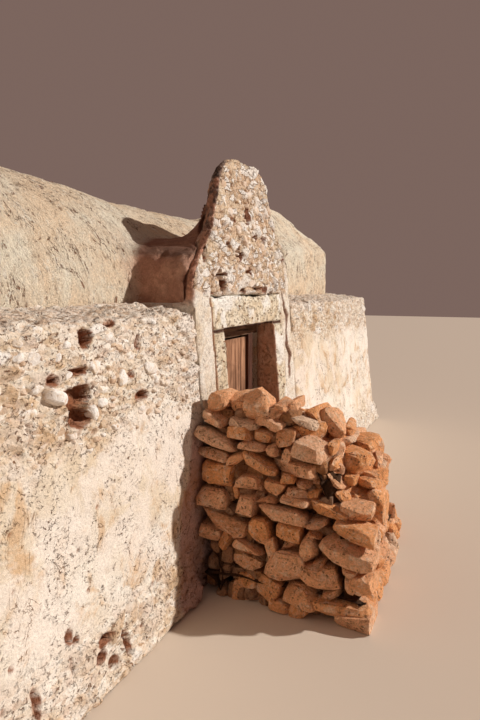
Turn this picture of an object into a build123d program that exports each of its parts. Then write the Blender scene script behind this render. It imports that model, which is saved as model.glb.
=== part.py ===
"""Small vaulted house of plastered rubble: battered walls, a barrel vault with a domed bay at its right
end, a short entrance vault behind a bell gable, a pivot-hung plank door, and a dry-stone mass stacked
against the wall in front of the door.

Millimetres, +Z up. X runs along the front wall, from the middle of the doorway to the right. The front
faces -Y, and Y = 0 is the line where the front wall meets the ground."""

import os
from math import atan, atan2, cos, hypot, pi, sin, sqrt

from build123d import *

os.makedirs("parts", exist_ok=True)

# Plan, measured on the ground
half_length = 3780
depth = 3160

# Walls, with faces that lean back, and the ledge that rises from its rim to the foot of the vaults
wall_height = 1480
rim_thickness = 70
ledge_rise = 50
front_lean = 130
end_lean = 180
front_ledge = 530
end_ledge = 480
rim_round = 35

# Flared footings
footing_flare = 60
footing_height = 300

# Barrel vault along X: a three-centred arch, with tighter arcs at its feet
shell = 220
vault_rise = 808
vault_side_radius = 600

# Domed bay at the right end
bay_length = 1450
drum_top = 2070
bay_slope = 0.96
shoulder_run = 450
bay_crown_rise = 78
bay_corner = 140

# Entrance vault along Y
entrance_left = -780
entrance_right = 716
entrance_stilt = 110
entrance_rise = 330
entrance_side_radius = 240
entrance_shell = 170

# Frontispiece and doorway
frontispiece_left = -800
frontispiece_right = 840
opening_half = 435
jamb_left_width = 150
jamb_right_width = 179
door_head = 1420
lintel_height = 210
reveal_depth = 260
sill_top = 120
sill_nose = 40
sill_back = 360
gable_rise = 945
gable_thickness = 120
gable_back_chamfer = 70
saddle_reach = 400
saddle_tuck = 30
saddle_sections = (0, 0.3, 0.6, 1)

# Door frame and leaf
post_left_width = 75
post_right_x = 270
post_right_width = 75
post_depth = 70
backing_set_back = 40
backing_depth = 50
head_height = 80
stile_radius = 26
stile_lap = 0.6
hinge_gap = 5
pivot_radius = 14
pivot_seat_gap = 0.3
leaf_gap = 6
sweep_gap = 20
board_thickness = 28
board_count = 5
board_joint = 3
closing_width = 70
ledge_thickness = 26
ledge_width = 95
ledge_from_end = 130

# Earth floor inside
floor_thickness = 50

# Dry-stone mass: height, place and reach of its near corner, of its outer bend, and tail along the wall
stack_levels = [
    (0, -1070, 950, 330, 870, 1400),
    (160, -1060, 940, 330, 835, 1180),
    (320, -1045, 930, 330, 765, 1010),
    (480, -1010, 900, 330, 695, 850),
    (640, -970, 840, 330, 560, 690),
    (800, -940, 760, 300, 360, 540),
    (950, -910, 640, 20, 330, 330),
    (1080, -880, 440, -330, 230, -60),
]

# Bell gable's outline: shares of its half-width on each side and of its rise, upward from the foot
gable_right_side = [(0.965, 0.25), (0.72, 0.575), (0.55, 0.81), (0.37, 0.965)]
gable_left_side = [(0.965, 0.19), (0.755, 0.365), (0.56, 0.59), (0.43, 0.8), (0.24, 0.955)]
gable_peak = 0.14

# Sizes that follow
rim_height = wall_height + rim_thickness
springing = rim_height + ledge_rise
wall_thickness = front_ledge + shell
end_thickness = end_ledge + shell
inner_x = half_length - end_thickness
inner_back = depth - wall_thickness
vault_y = depth / 2
vault_half = depth / 2 - front_ledge
vault_end_x = half_length - end_ledge
bay_x = vault_end_x - bay_length
jamb_left_x = -opening_half - jamb_left_width
jamb_right_x = opening_half + jamb_right_width
lintel_top = door_head + lintel_height
lean_angle = atan(front_lean / rim_height)
entrance_middle = (entrance_left + entrance_right) / 2
entrance_half = (entrance_right - entrance_left) / 2

front_face = Plane((0, 0, 0), x_dir=(1, 0, 0), z_dir=(0, -rim_height, front_lean))
back_face = Plane((0, depth, 0), x_dir=(-1, 0, 0), z_dir=(0, rim_height, front_lean))
right_face = Plane((half_length, 0, 0), x_dir=(0, 1, 0), z_dir=(rim_height, 0, end_lean))
left_face = Plane((-half_length, 0, 0), x_dir=(0, -1, 0), z_dir=(-rim_height, 0, end_lean))


def front_y(z):
    """How far back the front face stands at a height."""
    return front_lean * z / rim_height


def end_x(z):
    """How far from the middle the end faces stand at a height."""
    return half_length - end_lean * z / rim_height


def block(x0, x1, y0, y1, z0, z1, mode=Mode.ADD):
    """Puts a straight block between two corners into the part being built."""
    with BuildSketch(Plane.XY.offset(z0)) as plan:
        with Locations(((x0 + x1) / 2, (y0 + y1) / 2)):
            Rectangle(x1 - x0, y1 - y0)
    extrude(plan.sketch, amount=z1 - z0, mode=mode)


def trim(*faces):
    """Cuts the part being built back to leaning outer faces."""
    for face in faces:
        split(bisect_by=face, keep=Keep.BOTTOM)


def keep(piece, name):
    """Labels a finished piece and writes it."""
    piece.part.label = name
    export_step(piece.part, f"parts/{name}.step")


# Walls

with BuildPart() as front_wall_left:
    block(-half_length, frontispiece_left, 0, wall_thickness, 0, wall_height)
    trim(front_face, left_face)
keep(front_wall_left, "front_wall_left")

with BuildPart() as front_wall_right:
    block(frontispiece_right, half_length, 0, wall_thickness, 0, wall_height)
    trim(front_face, right_face)
keep(front_wall_right, "front_wall_right")

with BuildPart() as back_wall:
    block(-half_length, half_length, inner_back, depth, 0, wall_height)
    trim(back_face, left_face, right_face)
keep(back_wall, "back_wall")

with BuildPart() as end_wall_left:
    block(-half_length, -inner_x, wall_thickness, inner_back, 0, wall_height)
    trim(left_face)
keep(end_wall_left, "end_wall_left")

with BuildPart() as end_wall_right:
    block(inner_x, half_length, wall_thickness, inner_back, 0, wall_height)
    trim(right_face)
keep(end_wall_right, "end_wall_right")

# Ledges on the wall tops: each rises from a rounded rim to the foot of the vaults


def ledge_profile(rim, foot, inner):
    """Outline of a ledge in the sketch being drawn, from its outer rim to the inner wall face."""
    low_rim, high_rim = rim
    with BuildLine() as outline:
        Polyline(
            (low_rim, wall_height),
            (high_rim, rim_height),
            (foot, springing),
            (inner, springing),
            (inner, wall_height),
            close=True,
        )
    make_face(outline.edges())


front_rim = (front_y(wall_height), front_y(rim_height))
back_rim = (depth - front_y(wall_height), depth - front_y(rim_height))
right_rim = (end_x(wall_height), end_x(rim_height))


def soften_rim(builder, axis, outermost):
    """Rounds the rim edge of a ledge: the long edge at the rim height, furthest out along an axis."""
    rim = builder.edges().filter_by_position(Axis.Z, rim_height - 1, rim_height + 1)
    fillet(rim.sort_by(axis)[-1 if outermost else 0], radius=rim_round)


with BuildPart() as ledge_front_left:
    with BuildSketch(Plane.YZ.offset(-half_length)):
        ledge_profile(front_rim, front_ledge, wall_thickness)
    extrude(amount=half_length + frontispiece_left)
    trim(left_face)
    soften_rim(ledge_front_left, Axis.Y, False)
keep(ledge_front_left, "ledge_front_left")

with BuildPart() as ledge_front_right:
    with BuildSketch(Plane.YZ.offset(frontispiece_right)):
        ledge_profile(front_rim, front_ledge, wall_thickness)
    extrude(amount=half_length - frontispiece_right)
    trim(right_face)
    soften_rim(ledge_front_right, Axis.Y, False)
keep(ledge_front_right, "ledge_front_right")

with BuildPart() as ledge_back:
    with BuildSketch(Plane.YZ.offset(-half_length)):
        ledge_profile(back_rim, depth - front_ledge, inner_back)
    extrude(amount=2 * half_length)
    trim(left_face, right_face)
    soften_rim(ledge_back, Axis.Y, True)
keep(ledge_back, "ledge_back")

with BuildPart() as ledges_end:
    with BuildSketch(Plane.XZ.offset(-wall_thickness)):
        ledge_profile(right_rim, vault_end_x, inner_x)
    extrude(amount=-(inner_back - wall_thickness))
    soften_rim(ledges_end, Axis.X, True)
    mirror(about=Plane.YZ)
keep(ledges_end, "ledges_end")

# Footings: wedges that flare out all round, cut from one ring


def frustum(flare):
    """Adds a block that tapers from the walls' foot, widened by a flare, to the footing's top."""
    with BuildSketch(Plane.XY) as foot:
        with Locations((0, depth / 2)):
            Rectangle(2 * (half_length + flare), depth + 2 * flare)
    with BuildSketch(Plane.XY.offset(footing_height)) as top:
        with Locations((0, depth / 2)):
            Rectangle(2 * end_x(footing_height), depth - 2 * front_y(footing_height))
    loft([foot.sketch, top.sketch])


with BuildPart() as footed_base:
    frustum(footing_flare)

with BuildPart() as plain_base:
    frustum(0)

outside_x = half_length + footing_flare
near_y = front_y(footing_height)
far_y = depth - near_y


def footing(x0, x1, y0, y1):
    """Puts the stretch of the footings between two corners into the part being built."""
    add(footed_base.part)
    add(plain_base.part, mode=Mode.SUBTRACT)
    block(x0, x1, y0, y1, 0, footing_height, mode=Mode.INTERSECT)


with BuildPart() as footing_front_left:
    footing(-outside_x, stack_levels[0][1], -footing_flare, near_y)
keep(footing_front_left, "footing_front_left")

with BuildPart() as footing_front_right:
    footing(stack_levels[0][5], outside_x, -footing_flare, near_y)
keep(footing_front_right, "footing_front_right")

with BuildPart() as footing_back:
    footing(-outside_x, outside_x, far_y, depth + footing_flare)
keep(footing_back, "footing_back")

with BuildPart() as footings_end:
    footing(0, outside_x, near_y, far_y)
    mirror(about=Plane.YZ)
keep(footings_end, "footings_end")

# Frontispiece: two piers, white jambs, lintel, inner lintel, cheeks behind the jambs, and threshold

with BuildPart() as door_pier_left:
    block(frontispiece_left, jamb_left_x, 0, wall_thickness, 0, springing)
    trim(front_face)
keep(door_pier_left, "door_pier_left")

with BuildPart() as door_pier_right:
    block(jamb_right_x, frontispiece_right, 0, wall_thickness, 0, springing)
    trim(front_face)
keep(door_pier_right, "door_pier_right")

with BuildPart() as door_jamb_left:
    block(jamb_left_x, -opening_half, 0, reveal_depth, 0, door_head)
    trim(front_face)
keep(door_jamb_left, "door_jamb_left")

with BuildPart() as door_jamb_right:
    block(opening_half, jamb_right_x, 0, reveal_depth, 0, door_head)
    trim(front_face)
keep(door_jamb_right, "door_jamb_right")

with BuildPart() as door_lintel:
    block(jamb_left_x, jamb_right_x, 0, reveal_depth, door_head, lintel_top)
    trim(front_face)
keep(door_lintel, "door_lintel")

with BuildPart() as inner_lintel:
    block(jamb_left_x, jamb_right_x, reveal_depth, wall_thickness, door_head, springing)
keep(inner_lintel, "inner_lintel")

with BuildPart() as door_cheeks:
    block(jamb_left_x, -opening_half, reveal_depth, wall_thickness, 0, door_head)
    block(opening_half, jamb_right_x, reveal_depth, wall_thickness, 0, door_head)
keep(door_cheeks, "door_cheeks")

with BuildPart() as threshold:
    block(-opening_half, opening_half, -sill_nose, sill_back, 0, sill_top)
keep(threshold, "threshold")

with BuildPart() as earth_floor:
    block(-inner_x, inner_x, wall_thickness, inner_back, 0, floor_thickness)
    block(-opening_half, opening_half, sill_back, wall_thickness, 0, floor_thickness)
keep(earth_floor, "earth_floor")

# Bell gable: one bell-shaped slab in the plane of the leaning front face


def on_face(x, z):
    """A point of the front face, in its own plane."""
    return (x, z / cos(lean_angle))


def gable_side(side, half_width):
    """Points up one side of the gable's outline."""
    return [on_face(out * half_width, springing + up * gable_rise) for out, up in side]


gable_sink = gable_thickness * sin(lean_angle)
gable_foot_right = on_face(frontispiece_right, springing - 2 * gable_sink)
gable_foot_left = on_face(entrance_left, springing - 2 * gable_sink)
gable_top = on_face(gable_peak * frontispiece_right, springing + gable_rise)

with BuildPart() as bell_gable:
    with BuildSketch(front_face):
        with BuildLine():
            Spline(
                gable_foot_right,
                *gable_side(gable_right_side, frontispiece_right),
                gable_top,
                *reversed(gable_side(gable_left_side, entrance_left)),
                gable_foot_left,
            )
            Line(gable_foot_left, gable_foot_right)
        make_face()
    extrude(amount=-gable_thickness)
    rear = bell_gable.faces().sort_by(Axis.Y)[-1]
    chamfer(rear.edges().filter_by(GeomType.LINE, reverse=True), length=gable_back_chamfer)
    split(bisect_by=Plane.XY.offset(springing), keep=Keep.TOP)
    add(door_lintel.part, mode=Mode.SUBTRACT)
keep(bell_gable, "bell_gable")

# Vaults: solid envelopes first, then the shells


def arch(middle, foot, stilt, half, rise, side_radius, inset):
    """Three-centred arch on upright stilts, in the sketch being drawn: two side arcs and a crown arc.
    An inset arch keeps the three centres."""
    crown_radius = (half**2 + rise**2 - 2 * half * side_radius) / (2 * (rise - side_radius))
    side_centre = half - side_radius
    turn = atan(side_centre / (crown_radius - rise))
    eave = foot + stilt
    outer = half - inset
    radius = side_radius - inset
    joint_x = side_centre + radius * sin(turn)
    joint_z = eave + radius * cos(turn)
    flank_x = side_centre + radius * sin((turn + pi / 2) / 2)
    flank_z = eave + radius * cos((turn + pi / 2) / 2)
    with BuildLine() as outline:
        Line((middle - outer, foot), (middle + outer, foot))
        if stilt:
            Line((middle + outer, foot), (middle + outer, eave))
            Line((middle - outer, foot), (middle - outer, eave))
        ThreePointArc(
            (middle + outer, eave), (middle + flank_x, flank_z), (middle + joint_x, joint_z)
        )
        ThreePointArc(
            (middle + joint_x, joint_z), (middle, eave + rise - inset), (middle - joint_x, joint_z)
        )
        ThreePointArc(
            (middle - joint_x, joint_z), (middle - flank_x, flank_z), (middle - outer, eave)
        )
    make_face(outline.edges())


def main_vault(x0, x1, inset, mode=Mode.ADD):
    """Puts a length of the main vault's solid form into the part being built."""
    with BuildSketch(Plane.YZ.offset(x0)) as section:
        arch(vault_y, springing, 0, vault_half, vault_rise, vault_side_radius, inset)
    extrude(section.sketch, amount=x1 - x0, mode=mode)


def entrance_form(inset, y0, y1, mode=Mode.ADD):
    """Puts the entrance vault's solid form between two depths into the part being built."""
    with BuildSketch(Plane.XZ.offset(-y0)) as section:
        arch(
            entrance_middle,
            springing,
            entrance_stilt,
            entrance_half,
            entrance_rise,
            entrance_side_radius,
            inset,
        )
    extrude(section.sketch, amount=-(y1 - y0), mode=mode)


def bay_arch(half, inset):
    """Upright sides, straight shoulders and a flat arc over them, centred in the sketch being drawn."""
    slant = sqrt(1 + bay_slope**2)
    eave = drum_top - inset * (slant - bay_slope)
    shoulder = drum_top + bay_slope * shoulder_run - inset * slant
    crown = drum_top + bay_slope * shoulder_run + bay_crown_rise - inset
    side = half - inset
    brow = half - shoulder_run
    with BuildLine() as outline:
        Polyline(
            (-brow, shoulder),
            (-side, eave),
            (-side, springing),
            (side, springing),
            (side, eave),
            (brow, shoulder),
        )
        ThreePointArc((brow, shoulder), (0, crown), (-brow, shoulder))
    make_face(outline.edges())


bay_middle_x = bay_x + bay_length / 2


def bay_form(inset, mode=Mode.ADD):
    """Puts the domed bay's solid form into the part being built: one arch crossed by another."""
    near = Plane((bay_middle_x, front_ledge + inset, 0), x_dir=(1, 0, 0), z_dir=(0, -1, 0))
    side = Plane((bay_x + inset, vault_y, 0), x_dir=(0, 1, 0), z_dir=(1, 0, 0))
    with BuildSketch(near) as across:
        bay_arch(bay_length / 2, inset)
    with BuildSketch(side) as along:
        bay_arch(vault_half, inset)
    with BuildPart() as form:
        extrude(across.sketch, amount=-2 * (vault_half - inset))
        extrude(along.sketch, amount=bay_length - 2 * inset, mode=Mode.INTERSECT)
    add(form.part, mode=mode)


with BuildPart() as bay_envelope:
    bay_form(0)
    with BuildSketch(Plane.XY.offset(springing)):
        with Locations((bay_middle_x, vault_y)):
            RectangleRounded(bay_length, 2 * vault_half, bay_corner)
    extrude(amount=drum_top, mode=Mode.INTERSECT)

with BuildPart() as domed_bay:
    add(bay_envelope.part)
    bay_form(shell, mode=Mode.SUBTRACT)
    main_vault(bay_x, bay_x + shoulder_run, shell, mode=Mode.SUBTRACT)
keep(domed_bay, "domed_bay")

with BuildPart() as barrel_vault_left:
    main_vault(-vault_end_x, entrance_left, 0)
    main_vault(-vault_end_x, entrance_left, shell, mode=Mode.SUBTRACT)
keep(barrel_vault_left, "barrel_vault_left")

with BuildPart() as vault_end_wall:
    main_vault(-vault_end_x, -inner_x, shell)
keep(vault_end_wall, "vault_end_wall")

with BuildPart() as barrel_vault_middle:
    main_vault(entrance_left, entrance_right, 0)
    main_vault(entrance_left, entrance_right, shell, mode=Mode.SUBTRACT)
    entrance_form(0, 0, vault_y, mode=Mode.SUBTRACT)
keep(barrel_vault_middle, "barrel_vault_middle")

with BuildPart() as barrel_vault_right:
    main_vault(entrance_right, bay_x + shoulder_run, 0)
    main_vault(entrance_right, bay_x + shoulder_run, shell, mode=Mode.SUBTRACT)
    add(bay_envelope.part, mode=Mode.SUBTRACT)
keep(barrel_vault_right, "barrel_vault_right")

gable_eave = front_y(springing) + gable_thickness - gable_back_chamfer

with BuildPart() as entrance_vault:
    entrance_form(0, gable_eave, vault_y)
    entrance_form(entrance_shell, gable_eave, vault_y, mode=Mode.SUBTRACT)
    main_vault(entrance_left, entrance_right, shell, mode=Mode.SUBTRACT)
    add(bell_gable.part, mode=Mode.SUBTRACT)
    add(door_lintel.part, mode=Mode.SUBTRACT)
keep(entrance_vault, "entrance_vault")

# Saddle: plaster that flares from the bell outline at the gable's back down to the entrance vault

entrance_eave = springing + entrance_stilt
saddle_front = front_y(springing + gable_rise) + saddle_tuck
bell_outline = [
    *[(out * frontispiece_right, springing + up * gable_rise) for out, up in gable_right_side],
    (gable_peak * frontispiece_right, springing + gable_rise),
    *[(out * entrance_left, springing + up * gable_rise) for out, up in reversed(gable_left_side)],
]


def saddle_section(share):
    """Section of the flare, from the gable's outline at a share of 0 to the vault's own at 1."""
    half = entrance_half - saddle_tuck
    rise = entrance_rise - saddle_tuck
    points = [(entrance_middle + half, springing)]
    for x, z in bell_outline:
        turn = atan2(z - entrance_eave, x - entrance_middle)
        vault_radius = 1 / hypot(cos(turn) / half, sin(turn) / rise)
        bell_radius = hypot(x - entrance_middle, z - entrance_eave) - saddle_tuck
        radius = vault_radius + max(bell_radius - vault_radius, 0) * (1 - share) ** 2
        points.append((entrance_middle + radius * cos(turn), entrance_eave + radius * sin(turn)))
    points.append((entrance_middle - half, springing))
    with BuildSketch(Plane.XZ.offset(-saddle_front - share * saddle_reach)) as section:
        with BuildLine():
            Polyline(*points, close=True)
        make_face()
    return section.sketch


with BuildPart() as gable_saddle:
    loft([saddle_section(share) for share in saddle_sections], ruled=True)
    entrance_form(0, 0, vault_y, mode=Mode.SUBTRACT)
    main_vault(entrance_left, entrance_right, 0, mode=Mode.SUBTRACT)
    add(bell_gable.part, mode=Mode.SUBTRACT)
keep(gable_saddle, "gable_saddle")

# Door frame: a post at each side, the right one with a plank set back beside it, and a head over them

head_bottom = door_head - head_height
post_right_edge = post_right_x + post_right_width
post_left_x = -opening_half + post_left_width
post_back = reveal_depth + post_depth

with BuildPart() as door_frame_left:
    block(-opening_half, post_left_x, reveal_depth, post_back, sill_top, head_bottom)
keep(door_frame_left, "door_frame_left")

with BuildPart() as door_frame_right:
    block(post_right_x, post_right_edge, reveal_depth, post_back, sill_top, head_bottom)
    backing_y = reveal_depth + backing_set_back
    block(
        post_right_edge, opening_half, backing_y, backing_y + backing_depth, sill_top, head_bottom
    )
keep(door_frame_right, "door_frame_right")

with BuildPart() as door_frame_head:
    block(
        -opening_half, opening_half, reveal_depth, backing_y + backing_depth, head_bottom, door_head
    )
keep(door_frame_head, "door_frame_head")

# Door leaf: boards on two ledges, between a round hanging stile that turns on pivots and a closing stile

hinge_x = post_left_x + hinge_gap + stile_radius
hinge_y = reveal_depth + post_depth / 2
leaf_bottom = sill_top + sweep_gap
leaf_top = head_bottom - sweep_gap
leaf_right = post_right_x - leaf_gap
boards_left = hinge_x + stile_radius * stile_lap
boards_right = leaf_right - closing_width
board_front = hinge_y - board_thickness / 2
board_pitch = (boards_right - boards_left) / board_count
ledge_start = hinge_x + post_back - hinge_y + 2 * hinge_gap

with BuildPart() as door_hanging_stile:
    with BuildSketch(Plane.XY.offset(leaf_bottom)):
        with Locations((hinge_x, hinge_y)):
            Circle(stile_radius)
        with Locations(((hinge_x + boards_left) / 2, hinge_y)):
            Rectangle(boards_left - hinge_x, board_thickness)
    extrude(amount=leaf_top - leaf_bottom)
    with BuildSketch(Plane.XY.offset(sill_top + pivot_seat_gap)):
        with Locations((hinge_x, hinge_y)):
            Circle(pivot_radius)
    extrude(amount=leaf_bottom - sill_top - pivot_seat_gap)
    with BuildSketch(Plane.XY.offset(leaf_top)):
        with Locations((hinge_x, hinge_y)):
            Circle(pivot_radius)
    extrude(amount=head_bottom - pivot_seat_gap - leaf_top)
keep(door_hanging_stile, "door_hanging_stile")

with BuildPart() as door_closing_stile:
    block(boards_right, leaf_right, board_front, board_front + board_thickness, leaf_bottom, leaf_top)
keep(door_closing_stile, "door_closing_stile")

with BuildPart() as door_boards:
    for number in range(board_count):
        left = boards_left + number * board_pitch
        right = left + board_pitch
        groove = board_joint if number < board_count - 1 else 0
        block(left, right, board_front, board_front + board_thickness, leaf_bottom, leaf_top)
        if groove:
            block(
                right - groove,
                right,
                board_front,
                board_front + board_joint,
                leaf_bottom,
                leaf_top,
                mode=Mode.SUBTRACT,
            )
    add(door_hanging_stile.part, mode=Mode.SUBTRACT)
keep(door_boards, "door_boards")

with BuildPart() as door_ledges:
    rear_y = board_front + board_thickness
    for low in (leaf_bottom + ledge_from_end, leaf_top - ledge_from_end - ledge_width):
        block(
            ledge_start,
            leaf_right,
            rear_y,
            rear_y + ledge_thickness,
            low,
            low + ledge_width,
        )
keep(door_ledges, "door_ledges")

# Dry-stone mass: courses that step through the sections in stack_levels, each lofted to the next

top_level = len(stack_levels) - 1


def stack_outline(level):
    """Plan of the mass at a level: along the wall, out at the near end, round the bend to the tail."""
    height, near_x, near_reach, bend_x, bend_reach, tail_x = level
    wall_y = front_y(height)
    with BuildSketch(Plane.XY.offset(height)) as plan:
        with BuildLine():
            Polyline(
                (near_x, wall_y),
                (near_x, -near_reach),
                (bend_x, -bend_reach),
                (tail_x, wall_y),
                close=True,
            )
        make_face()
    return plan.sketch


for number in range(top_level):
    name = "dry_stone_capstones" if number == top_level - 1 else f"dry_stone_course_{number + 1}"
    with BuildPart() as course:
        loft([stack_outline(stack_levels[number]), stack_outline(stack_levels[number + 1])])
        if number == 0:
            add(threshold.part, mode=Mode.SUBTRACT)
    keep(course, name)
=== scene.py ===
"""Looks of the small vaulted house: rubble and plaster skins over its walls and vaults, the stones of the
dry-stone mass, and the finish of its dressed stone and timber. Metres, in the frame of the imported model."""

import itertools
import math
import random

import bmesh
import bpy
import numpy as np
from mathutils import Matrix, Vector


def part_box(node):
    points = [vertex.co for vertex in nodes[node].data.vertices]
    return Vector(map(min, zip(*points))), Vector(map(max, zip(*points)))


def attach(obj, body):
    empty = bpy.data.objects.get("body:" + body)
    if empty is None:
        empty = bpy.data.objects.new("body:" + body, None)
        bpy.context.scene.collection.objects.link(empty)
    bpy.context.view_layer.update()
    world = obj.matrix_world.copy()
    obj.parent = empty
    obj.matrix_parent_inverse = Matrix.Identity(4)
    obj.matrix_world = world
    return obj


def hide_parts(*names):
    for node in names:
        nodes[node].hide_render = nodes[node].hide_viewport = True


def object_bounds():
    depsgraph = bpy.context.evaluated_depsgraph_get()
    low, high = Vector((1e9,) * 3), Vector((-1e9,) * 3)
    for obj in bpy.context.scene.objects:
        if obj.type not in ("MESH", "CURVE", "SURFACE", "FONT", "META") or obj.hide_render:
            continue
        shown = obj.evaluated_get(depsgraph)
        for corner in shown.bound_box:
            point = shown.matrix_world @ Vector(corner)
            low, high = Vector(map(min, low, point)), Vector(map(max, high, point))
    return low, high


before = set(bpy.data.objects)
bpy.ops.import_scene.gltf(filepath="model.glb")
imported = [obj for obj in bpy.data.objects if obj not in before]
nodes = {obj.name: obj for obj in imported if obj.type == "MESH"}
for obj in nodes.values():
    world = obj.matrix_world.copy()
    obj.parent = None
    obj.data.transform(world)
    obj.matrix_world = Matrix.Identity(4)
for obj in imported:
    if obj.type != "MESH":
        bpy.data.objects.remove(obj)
cad_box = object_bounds()

# Camera: an eye 1.70 m above the ground, looking along the front wall
EYE = (-3.816, -1.483, 1.70)
VIEW_YAW = math.radians(23.904)
VIEW_PITCH = math.radians(-7.125)
LENS_MM = 30.0
SENSOR_MM = 36.0

# Light: a low sun on the front right, and a pale sky
SUN_TRAVEL = Vector((-0.39, 0.78, -0.484))
SUN_STRENGTH = 3.6
SUN_SPREAD = math.radians(1.5)
SUN_COLOUR = (1.0, 0.95, 0.885)
SKY_COLOUR = (1.0, 0.66, 0.56)
SKY_STRENGTH = 0.20
FLOOR_COLOUR = (0.68, 0.58, 0.48, 1.0)
FLOOR_HALF = 30.0


def make_camera():
    """Places the camera and makes it the scene's own."""
    data = bpy.data.cameras.new("eye")
    data.lens = LENS_MM
    data.sensor_width = SENSOR_MM
    camera = bpy.data.objects.new("eye", data)
    bpy.context.scene.collection.objects.link(camera)
    level = Vector((math.cos(VIEW_YAW), math.sin(VIEW_YAW), 0.0))
    forward = level * math.cos(VIEW_PITCH) + Vector((0, 0, math.sin(VIEW_PITCH)))
    right = forward.cross(Vector((0, 0, 1))).normalized()
    up = right.cross(forward)
    camera.matrix_world = Matrix(
        (
            (right.x, up.x, -forward.x, EYE[0]),
            (right.y, up.y, -forward.y, EYE[1]),
            (right.z, up.z, -forward.z, EYE[2]),
            (0, 0, 0, 1),
        )
    )
    bpy.context.scene.camera = camera


def make_light():
    """Adds the sun and the sky."""
    data = bpy.data.lights.new("sun", "SUN")
    data.energy = SUN_STRENGTH
    data.angle = SUN_SPREAD
    data.color = SUN_COLOUR
    sun = bpy.data.objects.new("sun", data)
    sun.rotation_euler = SUN_TRAVEL.to_track_quat("-Z", "Y").to_euler()
    bpy.context.scene.collection.objects.link(sun)
    world = bpy.data.worlds.new("sky")
    bpy.context.scene.world = world
    world.use_nodes = True
    background = world.node_tree.nodes["Background"]
    background.inputs["Color"].default_value = (*SKY_COLOUR, 1.0)
    background.inputs["Strength"].default_value = SKY_STRENGTH
    bpy.context.scene.view_settings.view_transform = "Standard"


def make_floor():
    """Adds the plain floor, which isn't part of the house."""
    mesh = bpy.data.meshes.new("floor")
    reach = FLOOR_HALF
    corners = [(-reach, -reach, 0), (reach, -reach, 0), (reach, reach, 0), (-reach, reach, 0)]
    mesh.from_pydata(corners, [], [(0, 1, 2, 3)])
    floor = bpy.data.objects.new("floor", mesh)
    bpy.context.scene.collection.objects.link(floor)
    material = bpy.data.materials.new("floor")
    material.use_nodes = True
    shader = material.node_tree.nodes["Principled BSDF"]
    shader.inputs["Base Color"].default_value = FLOOR_COLOUR
    shader.inputs["Roughness"].default_value = 0.9
    mesh.materials.append(material)


# Noise: repeatable fields over arrays of points
def cell_value(cells, seed):
    """A repeatable number from 0 to 1 for each lattice cell."""
    x, y, z = cells.T
    mixed = x * 73856093 ^ y * 19349663 ^ z * 83492791 ^ seed * 40503
    mixed = (mixed ^ mixed >> 13) * 1274126177
    return ((mixed ^ mixed >> 16) & 0xFFFF) / 65535.0


def waves(points, size, seed):
    """Smooth noise from -1 to 1, with lumps about as large as size."""
    scaled = points / size + seed * 17.13
    base = np.floor(scaled).astype(np.int64)
    part = scaled - base
    part = part * part * (3 - 2 * part)
    total = np.zeros(len(points))
    for corner in itertools.product((0, 1), repeat=3):
        weight = np.prod(np.where(corner, part, 1 - part), axis=1)
        total += weight * cell_value(base + np.array(corner), seed)
    return total * 2 - 1


def rough(points, size, seed, layers=4):
    """Noise from about -1 to 1 with finer and finer lumps."""
    total = np.zeros(len(points))
    for layer in range(layers):
        total += waves(points, size / 2**layer, seed + layer) / 1.8**layer
    return total / 1.6


def pebbles(points, size, seed):
    """For scattered stones of a size: how far inside its stone each point is, and the stone's tint."""
    scaled = points / size
    base = np.floor(scaled).astype(np.int64)
    near = np.full(len(points), 9.0)
    second = near.copy()
    tint = np.zeros(len(points))
    for offset in itertools.product((-1, 0, 1), repeat=3):
        cell = base + np.array(offset)
        centre = cell + np.stack([cell_value(cell, seed + axis) for axis in range(3)], axis=1)
        distance = np.linalg.norm(scaled - centre, axis=1)
        closer = distance < near
        second = np.where(closer, near, np.minimum(second, distance))
        tint = np.where(closer, cell_value(cell, seed + 5), tint)
        near = np.minimum(near, distance)
    return second - near, tint


def ramp(value, low, high):
    """0 below low, 1 above high, and smooth between."""
    part = np.clip((value - low) / (high - low), 0, 1)
    return part * part * (3 - 2 * part)


# Meshes
def take_points(mesh):
    """The mesh's vertices and their normals, as arrays."""
    points = np.empty(len(mesh.vertices) * 3)
    normals = np.empty(len(mesh.vertices) * 3)
    mesh.vertices.foreach_get("co", points)
    mesh.vertices.foreach_get("normal", normals)
    return points.reshape(-1, 3), normals.reshape(-1, 3)


def write_points(mesh, points):
    """Moves the mesh's vertices, held inside the CAD model's box."""
    low, high = (np.array(corner) for corner in cad_box)
    mesh.vertices.foreach_set("co", np.clip(points, low, high).ravel())
    mesh.update()


def write_fields(mesh, **fields):
    """Stores numbers on the vertices for the materials."""
    for name, values in fields.items():
        field = mesh.attributes.new(name, "FLOAT", "POINT")
        field.data.foreach_set("value", np.asarray(values, dtype=np.float32))


def place(name, mesh, slot, replaced=()):
    """Makes the piece that shows the mesh, riding on the house, in place of the named nodes."""
    piece = bpy.data.objects.new(name, mesh)
    bpy.context.scene.collection.objects.link(piece)
    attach(piece, "house")
    if replaced:
        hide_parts(*replaced)
    return piece


def joined(node_names):
    """One mesh of the named nodes' solids."""
    gathered = bmesh.new()
    for name in node_names:
        gathered.from_mesh(nodes[name].data)
    mesh = bpy.data.meshes.new("joined")
    gathered.to_mesh(mesh)
    gathered.free()
    return mesh


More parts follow.
